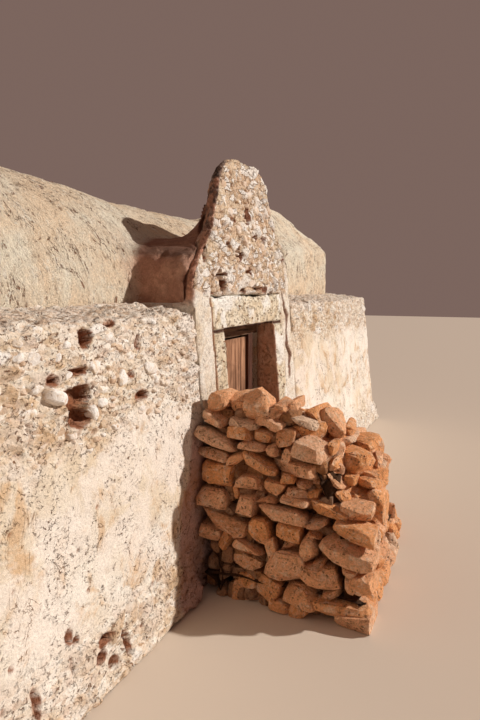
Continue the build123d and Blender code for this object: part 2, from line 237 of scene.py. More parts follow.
def cast(name, node_names, voxel, fine=()):
    """One closed, softly rounded mesh over the named nodes, with smaller faces inside the fine boxes."""
    source = bpy.data.objects.new(name, joined(node_names))
    bpy.context.scene.collection.objects.link(source)
    remesh = source.modifiers.new("cast", "REMESH")
    remesh.mode = "VOXEL"
    remesh.voxel_size = voxel
    shaped = source.evaluated_get(bpy.context.evaluated_depsgraph_get())
    mesh = bpy.data.meshes.new_from_object(shaped)
    mesh.name = name
    mesh.materials.clear()
    bpy.data.objects.remove(source)
    for low, high in fine:
        refine(mesh, low, high)
    mesh.shade_smooth()
    return mesh


def refine(mesh, low, high):
    """Halves the faces between two corners of a box."""
    shape = bmesh.new()
    shape.from_mesh(mesh)
    inside = {
        vertex
        for vertex in shape.verts
        if all(low[axis] < vertex.co[axis] < high[axis] for axis in range(3))
    }
    edges = [edge for edge in shape.edges if edge.verts[0] in inside and edge.verts[1] in inside]
    bmesh.ops.subdivide_edges(shape, edges=edges, cuts=1, use_grid_fill=True, smooth=0.0)
    shape.to_mesh(mesh)
    shape.free()


# Materials: each is a node tree over the object's own coordinates
SHEEN = 0.25


class Finish:
    """A material in the making: its colour so far, and short ways to add nodes."""

    def __init__(self, name, paint, roughness=0.9):
        self.material = bpy.data.materials.new(name)
        self.material.use_nodes = True
        self.tree = self.material.node_tree
        self.shader = self.tree.nodes["Principled BSDF"]
        self.shader.inputs["Roughness"].default_value = roughness
        self.shader.inputs["Specular IOR Level"].default_value = SHEEN
        self.place = self.tree.nodes.new("ShaderNodeTexCoord").outputs["Object"]
        self.paint = paint

    def node(self, kind, inputs, **settings):
        """Adds a node with its settings, and links or sets its inputs."""
        node = self.tree.nodes.new(kind)
        for key, value in settings.items():
            setattr(node, key, value)
        for key, value in inputs.items():
            if isinstance(value, bpy.types.NodeSocket):
                self.tree.links.new(value, node.inputs[key])
            else:
                node.inputs[key].default_value = value
        return node

    def vector(self, operation, first, second):
        """The outcome of a step on two vectors."""
        return self.node("ShaderNodeVectorMath", {0: first, 1: second}, operation=operation).outputs[0]

    def noise(self, scale, detail=5.0, roughness=0.6, distortion=0.0, stretch=(1, 1, 1)):
        """Fractal noise from 0 to 1, drawn out where the stretch is small."""
        inputs = {
            "Vector": self.vector("MULTIPLY", self.place, stretch),
            "Scale": scale,
            "Detail": detail,
            "Roughness": roughness,
            "Distortion": distortion,
        }
        return self.node("ShaderNodeTexNoise", inputs).outputs["Fac"]

    def cells(self, scale, feature="F1", output="Distance", stretch=(1, 1, 1), wobble=0.0):
        """Scattered cells: the distance to their centres or edges, or their colour."""
        place = self.vector("MULTIPLY", self.place, stretch)
        if wobble:
            inputs = {"Vector": place, "Scale": scale, "Detail": 3.0}
            bend = self.node("ShaderNodeTexNoise", inputs).outputs["Color"]
            inputs = {0: bend, "Scale": wobble / scale}
            bend = self.node("ShaderNodeVectorMath", inputs, operation="SCALE").outputs[0]
            place = self.vector("ADD", place, bend)
        inputs = {"Vector": place, "Scale": scale}
        return self.node("ShaderNodeTexVoronoi", inputs, feature=feature).outputs[output]

    def tints(self, scale, **shape):
        """Two random numbers for each of the scattered cells."""
        cell = self.cells(scale, output="Color", **shape)
        parts = self.node("ShaderNodeSeparateColor", {0: cell}).outputs
        return parts[0], parts[1]

    def field(self, name):
        """A number stored on the mesh's vertices."""
        return self.node("ShaderNodeAttribute", {}, attribute_name=name).outputs["Fac"]

    def span(self, value, low, high, end=1.0, start=0.0):
        """Maps low..high to start..end, smoothly and held at both ends."""
        inputs = {0: value, 1: low, 2: high, 3: start, 4: end}
        return self.node("ShaderNodeMapRange", inputs, interpolation_type="SMOOTHSTEP").outputs[0]

    def under(self, value, low, high, most=1.0, least=0.0):
        """Falls smoothly from most at low to least at high."""
        return self.span(value, low, high, least, most)

    def maths(self, operation, first, second=0.0):
        """One sum, product, or other step on two numbers."""
        return self.node("ShaderNodeMath", {0: first, 1: second}, operation=operation).outputs[0]

    def times(self, first, second):
        """The product of two numbers."""
        return self.maths("MULTIPLY", first, second)

    def larger(self, first, second):
        """The larger of two numbers."""
        return self.maths("MAXIMUM", first, second)

    def veins(self, pattern, width):
        """Thin lines where a pattern passes its middle value."""
        return self.under(self.maths("ABSOLUTE", self.maths("SUBTRACT", pattern, 0.5)), 0.0, width)

    def mix(self, share, first, second, blend="MIX"):
        """Mixes two colours."""
        inputs = {0: share, 6: self.colour(first), 7: self.colour(second)}
        return self.node("ShaderNodeMix", inputs, data_type="RGBA", blend_type=blend).outputs[2]

    @staticmethod
    def colour(value):
        """A colour for a socket, from red, green and blue or from another node."""
        return value if isinstance(value, bpy.types.NodeSocket) else (*value, 1.0)

    def coat(self, colour, share, most=None, blend="MIX"):
        """Lays a colour over the colour so far, by a share that most scales down."""
        share = share if most is None else self.times(share, most)
        self.paint = self.mix(share, self.paint, colour, blend)

    def pitted(self, colour, pits, crowd, most=None):
        """Lays a colour into pits, kept to where they crowd, and gives the pits that are left."""
        pits = self.times(pits, crowd)
        self.coat(colour, pits, most)
        return pits

    def blend(self, first, second, pattern, low, high):
        """Goes from one colour to another as a pattern rises from low to high."""
        return self.mix(self.span(pattern, low, high), first, second)

    def finish(self, depth, dim, bright, *parts):
        """Shades the colour with the grain, from dim to bright, and links it and the relief.

        The relief is depth metres deep and adds up parts with their weights, the grain first."""
        shade = self.span(parts[0][0], 0.3, 0.7, bright, dim)
        tone = self.node("ShaderNodeCombineColor", {0: shade, 1: shade, 2: shade}).outputs[0]
        self.coat(tone, 1.0, blend="MULTIPLY")
        return self.plain(depth, *parts)

    def plain(self, depth, *parts):
        """Links the colour as it is, and the relief."""
        self.tree.links.new(self.paint, self.shader.inputs["Base Color"])
        height, *others = (self.times(part, weight) for part, weight in parts)
        for other in others:
            height = self.maths("ADD", height, other)
        bump = self.node("ShaderNodeBump", {"Height": height, "Distance": depth, "Strength": 1.0})
        self.tree.links.new(bump.outputs[0], self.shader.inputs["Normal"])
        return self.material


# Colours, in linear light
CREAM = (0.78, 0.65, 0.49)
PALE_CREAM = (0.90, 0.84, 0.75)
PINK_WHITE = (0.91, 0.82, 0.73)
OCHRE = (0.68, 0.44, 0.24)
RUST = (0.42, 0.20, 0.09)
SPECK = (0.22, 0.10, 0.05)
CAVITY = (0.32, 0.115, 0.05)
CAVITY_RED = (0.28, 0.10, 0.045)
MORTAR_PINK = (0.66, 0.46, 0.31)
MORTAR_CREAM = (0.76, 0.60, 0.43)
WHITE_STONE = (0.94, 0.90, 0.85)
TAN_STONE = (0.62, 0.42, 0.25)
# Multiplied into the wall as painted shadow beside the dry-stone mass
STACK_SHADOW_TINT = (0.74, 0.55, 0.54)
GREY_DUST = (0.70, 0.49, 0.34)
SOOT_DARK = (0.10, 0.07, 0.058)
SOOT_PALE = (0.50, 0.37, 0.31)
VAULT_OCHRE = (0.96, 0.75, 0.53)
VAULT_PALE = (0.98, 0.90, 0.73)
VAULT_SAND = (0.90, 0.75, 0.57)
VAULT_WHITE = (0.98, 0.91, 0.78)
VAULT_TAN = (0.50, 0.32, 0.19)
VAULT_CRACK = (0.30, 0.11, 0.045)
VAULT_SHADE_WARM = (0.84, 0.48, 0.33)
VAULT_SHADE_DEEP = (0.56, 0.28, 0.19)
VAULT_PAINTED_SHADE = (0.15, 0.055, 0.03)
DRESSED_TAN = (0.70, 0.57, 0.40)
DRESSED_PALE = (0.86, 0.78, 0.63)
DRESSED_WHITE = (0.94, 0.92, 0.87)
DRESSED_PIT = (0.24, 0.105, 0.045)
DRESSED_JOINT_AND_SHADE = (0.09, 0.035, 0.02)
REVEAL_BROWN = (0.78, 0.40, 0.24)
REVEAL_PINK = (0.96, 0.64, 0.46)
STONE_ORANGE = (0.92, 0.41, 0.16)
STONE_PINK = (0.96, 0.51, 0.28)
STONE_PALE = (0.93, 0.71, 0.52)
STONE_PIT = (0.22, 0.1, 0.045)
STONE_GAP_SHADE = (0.045, 0.018, 0.008)
TIMBER_SPLIT = (0.02, 0.012, 0.008)
EARTH_DARK = (0.30, 0.18, 0.10)
EARTH_PALE = (0.44, 0.29, 0.17)


def wall_finish():
    """Lime and mud plaster, pitted and streaked, with rubble laid bare where it has fallen."""
    kit = Finish("wall_plaster", CREAM)
    patch = kit.noise(5.5, 6.0, 0.65, 0.8)
    grain = kit.noise(95.0, 6.0, 0.75)
    bare, ledge = kit.field("rubble"), kit.field("ledge")
    kit.coat(PALE_CREAM, kit.span(kit.noise(1.3, 4.0, 0.55, 0.6), 0.36, 0.64))
    kit.coat(OCHRE, kit.span(patch, 0.50, 0.64, 0.75))
    streak = kit.noise(5.0, 5.0, 0.6, 0.3, stretch=(2.2, 2.2, 0.35))
    kit.coat(PALE_CREAM, kit.span(streak, 0.55, 0.72, 0.45))
    kit.coat(PINK_WHITE, kit.span(kit.noise(3.4, 4.0, 0.6, 0.8), 0.46, 0.60, 0.8))
    first, second = kit.tints(44.0, stretch=(0.55, 1.0, 1.15), wobble=1.2)
    chips = kit.blend(TAN_STONE, PALE_CREAM, first, 0.0, 0.9)
    chips = kit.mix(kit.span(second, 0.80, 0.86, 0.7), chips, RUST)
    kit.coat(chips, bare, 0.5)
    stones = kit.blend(TAN_STONE, WHITE_STONE, kit.field("tint"), 0.25, 0.75)
    kit.coat(stones, kit.field("stone"), 0.85)
    dust = kit.blend(GREY_DUST, PALE_CREAM, kit.noise(28.0, 6.0, 0.8), 0.4, 0.6)
    kit.coat(dust, ledge, 0.7)
    crowd = kit.span(kit.noise(6.0, 5.0, 0.7, 0.5), 0.47, 0.62)
    crowd = kit.larger(crowd, kit.times(kit.larger(bare, ledge), 0.95))
    pits = kit.under(kit.noise(62.0, 4.0, 0.8, 0.7, stretch=(0.8, 1.0, 1.0)), 0.38, 0.44)
    pits = kit.pitted(SPECK, pits, crowd)
    seam = kit.veins(kit.noise(7.0, 4.0, 0.6, 0.8, stretch=(1.0, 1.0, 0.55)), 0.007)
    seam = kit.pitted(RUST, seam, kit.span(patch, 0.52, 0.6), 0.85)
    # Hollows and their rims: partly reddish earth, partly painted shade
    kit.coat(CAVITY, kit.field("hollow"))
    # Painted shadow: darkens the wall inside the dry-stone mass's cast shadow
    kit.coat(STACK_SHADOW_TINT, kit.field("damp"), blend="MULTIPLY")
    crumbs = kit.cells(30.0, stretch=(0.6, 1.0, 1.1), wobble=1.2)
    crumbs = kit.times(crumbs, kit.maths("ADD", bare, ledge))
    relief = ((grain, 0.5), (pits, -1.0), (patch, 0.5), (crumbs, -0.9), (seam, -0.6))
    return kit.finish(0.012, 0.80, 1.12, *relief)


def vault_stain(kit):
    """The warm brown painted shade of the vault beside the gable."""
    return kit.blend(VAULT_SHADE_DEEP, VAULT_SHADE_WARM, kit.noise(9.0, 6.0, 0.7, 0.4), 0.40, 0.75)


def vault_finish():
    """Rough ochre plaster of the vaults, streaked down their slopes, flaking, and painted browner as shade on
    the entrance vault's flank.
    """
    kit = Finish("vault_plaster", VAULT_OCHRE)
    patch = kit.noise(6.0, 6.0, 0.65, 0.6)
    grain = kit.noise(80.0, 6.0, 0.75)
    streak = kit.noise(22.0, 6.0, 0.74, 1.0, stretch=(1.0, 0.5, 0.5))
    fine = kit.noise(66.0, 5.0, 0.78, 0.8, stretch=(1.0, 0.6, 0.6))
    kit.coat(VAULT_PALE, kit.span(kit.noise(1.1, 5.0, 0.6, 0.7), 0.38, 0.62))
    kit.coat(VAULT_SAND, kit.span(patch, 0.48, 0.66, 0.7))
    kit.coat(VAULT_TAN, kit.span(streak, 0.56, 0.68, 0.5))
    kit.coat(VAULT_WHITE, kit.under(streak, 0.34, 0.47, 0.85))
    kit.coat(RUST, kit.span(fine, 0.58, 0.66, 0.4))
    kit.coat(VAULT_WHITE, kit.under(fine, 0.34, 0.44, 0.6))
    crack = kit.veins(kit.noise(8.0, 4.0, 0.6, 0.6, stretch=(1.0, 0.4, 0.4)), 0.013)
    crack = kit.pitted(VAULT_CRACK, crack, kit.span(patch, 0.50, 0.55), 0.95)
    pits = kit.under(kit.noise(46.0, 4.0, 0.8, 0.6, stretch=(1.0, 0.5, 0.5)), 0.38, 0.43)
    pits = kit.pitted(VAULT_CRACK, pits, kit.span(kit.noise(5.0, 4.0, 0.7), 0.42, 0.6), 0.9)
    # Painted shade on the entrance vault's left flank, in warm brown
    stained = kit.field("stain")
    # Darker painted shade on the flank's shoulder and crest
    kit.coat(kit.mix(kit.field("soot"), vault_stain(kit), VAULT_PAINTED_SHADE), stained)
    marks = kit.times(kit.maths("ADD", pits, crack), kit.under(stained, 0.0, 0.5, 1.0, 0.15))
    relief = ((grain, 0.5), (patch, 0.8), (streak, -1.4), (fine, -0.8), (marks, -0.8))
    return kit.finish(0.019, 0.82, 1.1, *relief)


def rubble_finish():
    """Coarse rubble in gritty mortar, with white chips and dark holes."""
    kit = Finish("gable_rubble", MORTAR_PINK)
    patch = kit.noise(4.5, 6.0, 0.65, 0.9)
    grain = kit.noise(80.0, 7.0, 0.8)
    speck = kit.noise(36.0, 6.0, 0.78, 0.6, stretch=(0.8, 1.0, 1.0))
    plastered = kit.field("plaster")
    kit.coat(MORTAR_CREAM, kit.span(patch, 0.40, 0.62))
    kit.coat(PALE_CREAM, kit.span(speck, 0.54, 0.62, 0.9))
    kit.coat(OCHRE, kit.under(speck, 0.36, 0.44, 0.7))
    chip_shape = {"stretch": (0.6, 1.0, 1.1), "wobble": 1.3}
    first, second = kit.tints(21.0, **chip_shape)
    edge = kit.cells(21.0, "DISTANCE_TO_EDGE", **chip_shape)
    white = kit.span(first, 0.66, 0.70, 0.85)
    white = kit.pitted(WHITE_STONE, white, kit.span(edge, 0.05, 0.12))
    kit.coat(WHITE_STONE, kit.field("stone"), 0.7)
    gap = kit.times(kit.under(edge, 0.0, 0.045), kit.span(second, 0.45, 0.5))
    pits = kit.under(kit.noise(50.0, 4.0, 0.8, 0.7), 0.37, 0.43)
    pits = kit.times(pits, kit.span(kit.noise(9.0, 5.0, 0.65), 0.36, 0.5))
    pits = kit.larger(pits, kit.times(gap, kit.under(plastered, 0.0, 0.6)))
    plaster = kit.blend(PALE_CREAM, CREAM, patch, 0.4, 0.7)
    plaster = kit.mix(kit.under(speck, 0.36, 0.46, 0.6), plaster, MORTAR_PINK)
    kit.coat(plaster, plastered)
    pits = kit.pitted(RUST, pits, kit.under(plastered, 0.0, 1.0, 1.0, 0.45), 0.9)
    # Hollows, holes and the crack: partly reddish earth, partly painted shade
    kit.coat(CAVITY_RED, kit.field("hollow"))
    # Painted shade in the vault's brown on the gable's left return
    kit.coat(vault_stain(kit), kit.field("stain"))
    # Soot blotches on the gable's left return
    soot = kit.blend(SOOT_DARK, SOOT_PALE, kit.noise(22.0, 5.0, 0.7), 0.45, 0.62)
    kit.coat(soot, kit.field("soot"))
    chips_out = kit.under(plastered, 0.0, 1.0, 0.5)
    relief = ((grain, 0.5), (pits, -1.1), (speck, 0.7), (white, chips_out))
    return kit.finish(0.012, 0.70, 1.18, *relief)


def dressed_finish():
    """Pale limestone, pitted, with whiter patches, reddish brown reveals, dark joints and painted shade under
    the lintel.
    """
    kit = Finish("dressed_stone", DRESSED_TAN, 0.85)
    patch = kit.noise(7.0, 6.0, 0.65, 0.6)
    grain = kit.noise(110.0, 6.0, 0.75)
    white = kit.span(kit.noise(4.2, 3.0, 0.5, 0.4), 0.50, 0.60)
    kit.coat(DRESSED_PALE, kit.span(patch, 0.4, 0.62))
    kit.coat(DRESSED_WHITE, white, 0.85)
    pits = kit.under(kit.noise(44.0, 5.0, 0.85, 0.7, stretch=(0.7, 1.0, 1.0)), 0.40, 0.46)
    dots = kit.under(kit.cells(32.0, stretch=(0.5, 1.0, 1.0), wobble=1.1), 0.17, 0.27)
    crowd = kit.span(kit.noise(7.0, 4.0, 0.6), 0.32, 0.46)
    crowd = kit.times(crowd, kit.under(white, 0.0, 1.0, 1.0, 0.25))
    pits = kit.pitted(DRESSED_PIT, kit.larger(kit.times(pits, 0.7), dots), crowd, 0.95)
    reveal = kit.noise(12.0, 6.0, 0.75, 0.5)
    reveal = kit.blend(REVEAL_BROWN, REVEAL_PINK, reveal, 0.36, 0.64)
    # The reveals' own reddish brown colour
    kit.coat(reveal, kit.field("stain"), 0.95)
    # Dark joints, and painted shade under the lintel
    kit.coat(DRESSED_JOINT_AND_SHADE, kit.field("hollow"))
    return kit.finish(0.01, 0.82, 1.1, (grain, 0.5), (pits, -1.1), (patch, 1.0))


def field_stone_finish():
    """Sun-baked field stones from orange to pale pink, each with its own tint, with painted shade in the gaps
    between them.
    """
    kit = Finish("stacked_stone", STONE_ORANGE)
    tint = kit.field("tint")
    patch = kit.noise(14.0, 6.0, 0.7, 0.5)
    grain = kit.noise(90.0, 6.0, 0.75)
    crust = kit.noise(34.0, 6.0, 0.75, 0.6)
    kit.coat(STONE_PINK, kit.span(tint, 0.1, 0.6))
    kit.coat(STONE_PALE, kit.span(tint, 0.62, 0.95))
    kit.coat(STONE_PALE, kit.span(patch, 0.48, 0.7, 0.7))
    kit.coat(RUST, kit.span(crust, 0.52, 0.66, 0.75))
    kit.coat(STONE_PALE, kit.under(crust, 0.34, 0.46, 0.7))
    pits = kit.under(kit.cells(46.0, wobble=1.2), 0.18, 0.32)
    pits = kit.pitted(STONE_PIT, pits, kit.span(kit.noise(20.0, 4.0, 0.6), 0.44, 0.58), 0.7)
    # Painted shade in the gaps: the hidden core, the small stones behind the joints, and the backs of the
    # near stones
    kit.coat(STONE_GAP_SHADE, kit.field("depth"), 0.93)
    return kit.finish(0.016, 0.74, 1.14, (grain, 0.5), (pits, -0.8), (crust, 1.1), (patch, 1.0))


def rubble_stone_finish():
    """White and tan limestone of the rubble, dusty and pitted."""
    kit = Finish("rubble_stone", MORTAR_PINK)
    patch = kit.noise(18.0, 6.0, 0.7, 0.5)
    grain = kit.noise(120.0, 6.0, 0.75)
    kit.coat(WHITE_STONE, kit.span(kit.field("tint"), 0.1, 1.0))
    kit.coat(MORTAR_CREAM, kit.span(patch, 0.46, 0.64, 0.85))
    kit.coat(OCHRE, kit.span(kit.noise(40.0, 5.0, 0.7, 0.4), 0.55, 0.68, 0.6))
    pits = kit.under(kit.cells(70.0, wobble=0.9), 0.12, 0.24)
    pits = kit.pitted(RUST, pits, kit.span(kit.noise(24.0, 4.0, 0.6), 0.5, 0.62), 0.6)
    return kit.finish(0.008, 0.84, 1.08, (grain, 0.5), (pits, -0.8), (patch, 1.0))


def timber_finish(name, dark, light, run):
    """Weathered timber with its grain along the run axis (0 across, 2 up)."""
    kit = Finish(name, dark, 0.8)
    stretch = [14.0, 14.0, 14.0]
    stretch[run] = 0.9
    fibre = kit.noise(3.0, 7.0, 0.7, 0.4, stretch=stretch)
    kit.coat(light, kit.span(fibre, 0.36, 0.62))
    deeper = tuple(0.7 * value for value in dark)
    kit.coat(deeper, kit.span(kit.noise(5.0, 5.0, 0.6, 0.4), 0.45, 0.7, 0.6))
    finer = [1.6 * value for value in stretch]
    split = kit.under(kit.noise(2.2, 4.0, 0.6, 0.2, stretch=finer), 0.33, 0.4)
    kit.coat(TIMBER_SPLIT, split, 0.8)
    return kit.plain(0.004, (fibre, 1.0), (split, -1.0))


def earth_finish():
    """Trodden earth of the floor inside."""
    kit = Finish("earth", EARTH_DARK)
    patch = kit.noise(3.0, 5.0, 0.6, 0.4)
    grain = kit.noise(60.0, 6.0, 0.8)
    kit.coat(EARTH_PALE, kit.span(patch, 0.4, 0.65))
    kit.coat(CREAM, kit.span(grain, 0.55, 0.7, 0.5))
    return kit.plain(0.01, (grain, 1.0), (patch, 1.0))


def metres(*rows):
    """Rows of lengths, from millimetres to metres."""
    return [tuple(value / 1000 for value in row) for row in rows]


# Marks on the front wall, read off the photograph: across, up, half width, half height and depth
WALL_MARKS = metres(
    (-1865, 1243, 80, 46, 75), (-1865, 1158, 70, 40, 70), (-1790, 1480, 36, 36, 60),
    (-2020, 1335, 28, 18, 50), (-1850, 1345, 55, 16, 45), (-1390, 1170, 50, 20, 45),
    (-1480, 1285, 22, 16, 35), (-1600, 1535, 30, 16, 40), (-1400, 1430, 18, 35, 35),
    (-2065, 320, 16, 26, 40), (-2030, 290, 14, 12, 30), (-1870, 205, 46, 16, 60),
    (-1910, 160, 40, 20, 60), (-1860, 110, 24, 16, 50), (-1750, 125, 18, 46, 60),
    (-2080, 215, 8, 22, 30), (-2290, 195, 16, 44, 50), (-1820, 765, 9, 7, 20),
    (-2304, 832, 10, 6, 20), (-1475, 266, 10, 5, 20), (-1435, 262, 8, 6, 20),
    (-1400, 269, 9, 5, 20), (-1926, 447, 12, 4, 15), (-1958, 627, 8, 6, 20), (-2370, 372, 7, 6, 15),
    (-2320, 629, 6, 6, 15), (-1623, 141, 8, 6, 20), (-2425, 254, 7, 8, 20),
    (-840, 1555, 30, 30, 50), (-1500, 1585, 40, 18, 40),
)


# How far the darker rim of a mark reaches past it, across and up, at most. The dark colour over marks and
# rims is partly reddish earth and partly painted shade.
RIM_WIDE = 0.009
RIM_TALL = 0.007


def stamped(points, marks):
    """How deep the marks cut into the wall at each point, with ragged edges, and how dark they are."""
    ragged = 0.35 * rough(points, 0.05, 31, 3)
    depth = np.zeros(len(points))
    dark = np.zeros(len(points))
    for across, up, half_width, half_height, deep in marks:
        spread = np.hypot((points[:, 0] - across) / half_width, (points[:, 2] - up) / half_height)
        depth = np.maximum(depth, deep * ramp(1.12 - spread - ragged, 0.0, 0.16))
        wide = half_width + min(RIM_WIDE, 0.3 * half_width)
        tall = half_height + min(RIM_TALL, 0.3 * half_height)
        rim = np.hypot((points[:, 0] - across) / wide, (points[:, 2] - up) / tall)
        dark = np.maximum(dark, ramp(1.12 - rim - ragged, 0.0, 0.2))
    return depth, dark


def cell_mix(tint):
    """Another repeatable number from 0 to 1 out of a stone's tint."""
    return (tint * 7.31 + 0.17) % 1.0


# Where the painted shadow of the dry-stone mass on the wall begins at each height
STACK_SHADOW_HEIGHTS = (0.09, 0.22, 0.34, 0.52, 0.63, 0.81, 0.94)
STACK_SHADOW_PLACES = (-1.32, -1.24, -1.21, -1.17, -1.07, -1.00, -0.94)


def masonry_relief(mesh, seed, marks=(), bare_from=1.0):
    """Weathers wall masonry: worn plaster, rubble laid bare above and at the foot, a crumbled ledge, and
    painted shadow beside the dry-stone mass.
    """
    points, normals = take_points(mesh)
    height = points[:, 2]
    ledge = ramp(normals[:, 2], 0.35, 0.7) * ramp(height, 1.3, 1.45)
    ragged = 0.16 * rough(points, 0.5, seed)
    bare = ramp(height + ragged, bare_from, bare_from + 0.16)
    bare = np.maximum(bare, 0.85 * ramp(0.34 - height + 0.7 * ragged, 0.0, 0.16))
    warped = points + 0.03 * rough(points, 0.1, seed + 3)[:, None]
    inside, tint = pebbles(warped, np.array([0.16, 0.13, 0.085]), seed)
    shown = ramp(cell_mix(tint), 0.62, 0.7) * bare
    stone = shown * ramp(inside, 0.10, 0.3)
    joint = shown * ramp(0.12 - inside, 0.0, 0.12)
    out = 0.010 * rough(points, 0.35, seed + 11) + 0.004 * rough(points, 0.07, seed + 13)
    coarse, fine = rough(points, 0.06, seed + 17), rough(points, 0.028, seed + 29)
    out += bare * (0.009 * coarse + 0.004 * fine - 0.006)
    out += 0.014 * stone - 0.010 * joint
    coarse, fine = rough(points, 0.09, seed + 19), rough(points, 0.03, seed + 37)
    out += ledge * (0.014 * coarse + 0.007 * fine)
    front = ramp(-normals[:, 1], 0.2, 0.5)
    hollow, dark = (field * front for field in stamped(points, marks))
    small = ramp(rough(points, 0.055, seed + 23, 3), 0.54, 0.68) * np.maximum(bare, 0.25)
    out -= hollow + 0.018 * small
    write_points(mesh, points + normals * out[:, None])
    # Painted shadow beside the dry-stone mass: from its shadow's edge towards the mass, below 0.95 m, on the
    # front face
    start = np.interp(height, STACK_SHADOW_HEIGHTS, STACK_SHADOW_PLACES)
    damp = ramp(points[:, 0] - start, 0.0, 0.05) * ramp(-0.5 - points[:, 0], 0, 0.2)
    write_fields(
        mesh,
        rubble=bare * (1 - ledge),
        stone=stone * (1 - ledge),
        tint=cell_mix(tint * 3.7),
        hollow=np.maximum(0.95 * dark, 0.5 * small),
        ledge=ledge,
        damp=damp * ramp(0.95 - height, 0.0, 0.08) * front,
    )


def left_front():
    """The front wall left of the doorway, with its footing and ledge."""
    names = ("front_wall_left", "ledge_front_left", "footing_front_left")
    mesh = cast("left_front_masonry", names, 0.021, fine=[((-2.5, -0.3, -0.1), (-0.7, 0.62, 1.7))])
    masonry_relief(mesh, 3, WALL_MARKS)
    return place("left_front_masonry", mesh, "wall_plaster", names)


def right_front():
    """The front wall right of the doorway."""
    names = ("front_wall_right", "ledge_front_right", "footing_front_right")
    mesh = cast("right_front_masonry", names, 0.022, fine=[((0.8, -0.3, 0.5), (2.4, 0.5, 1.7))])
    masonry_relief(mesh, 41, bare_from=1.12)
    return place("right_front_masonry", mesh, "wall_plaster", names)


def rear_walls():
    """The end walls and the back wall, with their footings and ledges."""
    walls = ("back_wall", "end_wall_left", "end_wall_right")
    names = (*walls, "ledge_back", "ledges_end", "footing_back", "footings_end")
    mesh = cast("rear_masonry", names, 0.036)
    points, _ = take_points(mesh)
    corner = ramp(np.abs(points[:, 0]), 3.4, 3.5) * ramp(0.86 - points[:, 1], 0.0, 0.06)
    points[:, 1] -= 0.06 * corner
    write_points(mesh, points)
    masonry_relief(mesh, 67, bare_from=1.25)
    return place("rear_masonry", mesh, "wall_plaster", names)


# How often the vaults' skin is evened out, and the barrel vault's middle, half width, foot and rise
VAULT_WEAR = 3
VAULT_MIDDLE = 1.58
VAULT_HALF = 1.05
VAULT_FOOT = 1.6
VAULT_RISE = 0.808


def vaults():
    """The barrel vault, the entrance vault with its flare, and the domed bay, under one plaster."""
    barrels = ("barrel_vault_left", "barrel_vault_middle", "barrel_vault_right")
    names = (*barrels, "vault_end_wall", "entrance_vault", "gable_saddle", "domed_bay")
    mesh = cast("vault_plaster", names, 0.03)
    for _ in range(VAULT_WEAR):
        smoothed(mesh)
    refine(mesh, (-2.15, 0.1, 1.5), (0.9, 1.5, 2.6))
    points, normals = take_points(mesh)
    x, y, z = points.T
    out = 0.014 * rough(points, 0.6, 5) + 0.007 * rough(points, 0.12, 7)
    out += 0.007 * rough(points * (1, 0.4, 0.4), 0.045, 15, 3)
    flake = ramp(rough(points, 0.28, 9), 0.28, 0.34)
    out -= 0.010 * flake
    main = ramp(z, 1.75, 2.3)
    eased = 0.06 * ramp(x, -0.8, 0.1) * ramp(2.2 - x, 0.0, 0.3)
    out += main * (0.02 * ramp(-x, 0.4, 1.2) - eased)
    corner = ramp(x, 2.9, 3.2) * ramp(1.0 - y, 0.0, 0.3)
    out += 0.03 * corner
    points = points + normals * out[:, None]
    foot = ramp(1.68 - z, 0.0, 0.08)
    points[:, 2] -= 0.05 * foot
    dome = ramp(x, 1.6, 2.1) * ramp(z, 2.15, 2.4)
    points[:, 2] += dome * (0.03 * ramp(1.25 - y, 0.0, 0.25) - 0.10 * ramp(y, 1.1, 1.6))
    saddle = ramp(z, 2.0, 2.12) * ramp(2.34 - z, 0.0, 0.12)
    saddle = saddle * ramp(0.62 - y, 0.0, 0.08) * ramp(-0.1 - x, 0.0, 0.12)
    points[:, 0] -= 0.05 * saddle
    write_points(mesh, points)
    curve = np.sqrt(np.clip(1 - ((z - VAULT_FOOT) / VAULT_RISE) ** 2, 0, 1))
    main_face = VAULT_MIDDLE - VAULT_HALF * curve
    # Painted shade on the entrance vault's left flank, which faces away from the sun
    flank = ramp(x, -0.92, -0.80) * ramp(-0.12 - x, 0.0, 0.12) * ramp(main_face - y, -0.03, 0.05)
    fade = ramp(rough(points, 0.35, 13), -0.6, 0.3)
    # Painted shade: a dark band on the flank's shoulder, where the sun grazes it, and a lighter one over its
    # crest
    shoulder_shade = 0.85 * ramp(z + 0.02 * rough(points, 0.10, 17), 1.85, 1.885)
    shoulder_shade = shoulder_shade * ramp(1.955 - z, 0.0, 0.02)
    soot = np.maximum(shoulder_shade, 0.4 * ramp(z, 1.93, 1.96))
    write_fields(mesh, stain=flank * (0.85 + 0.15 * fade), soot=soot)
    return place("vault_plaster", mesh, "vault_plaster", names)


def smoothed(mesh):
    """Evens the mesh out a little: each vertex moves halfway to the middle of its neighbours."""
    points, _ = take_points(mesh)
    ends = np.empty(len(mesh.edges) * 2, dtype=np.int64)
    mesh.edges.foreach_get("vertices", ends)
    first, second = ends.reshape(-1, 2).T
    total = np.zeros_like(points)
    np.add.at(total, first, points[second])
    np.add.at(total, second, points[first])
    count = np.bincount(ends, minlength=len(points))[:, None]
    write_points(mesh, 0.5 * points + 0.5 * total / count)


# Marks on the gable, as on the wall
GABLE_MARKS = metres(
    (-410, 1730, 38, 75, 70), (-430, 1760, 70, 16, 50), (70, 2180, 24, 60, 60),
    (-110, 1900, 36, 44, 60), (30, 1790, 42, 30, 60), (730, 1950, 20, 80, 50),
    (-610, 1900, 18, 60, 50), (270, 1680, 34, 24, 50), (160, 1680, 60, 14, 50),
    (-530, 1660, 30, 16, 50), (-100, 1660, 46, 14, 50), (180, 2030, 30, 16, 40),
    (-190, 2120, 40, 12, 40), (340, 2040, 20, 26, 40), (-270, 1960, 26, 16, 40),
    (100, 2260, 16, 30, 40), (-830, 1400, 12, 90, 30),
)

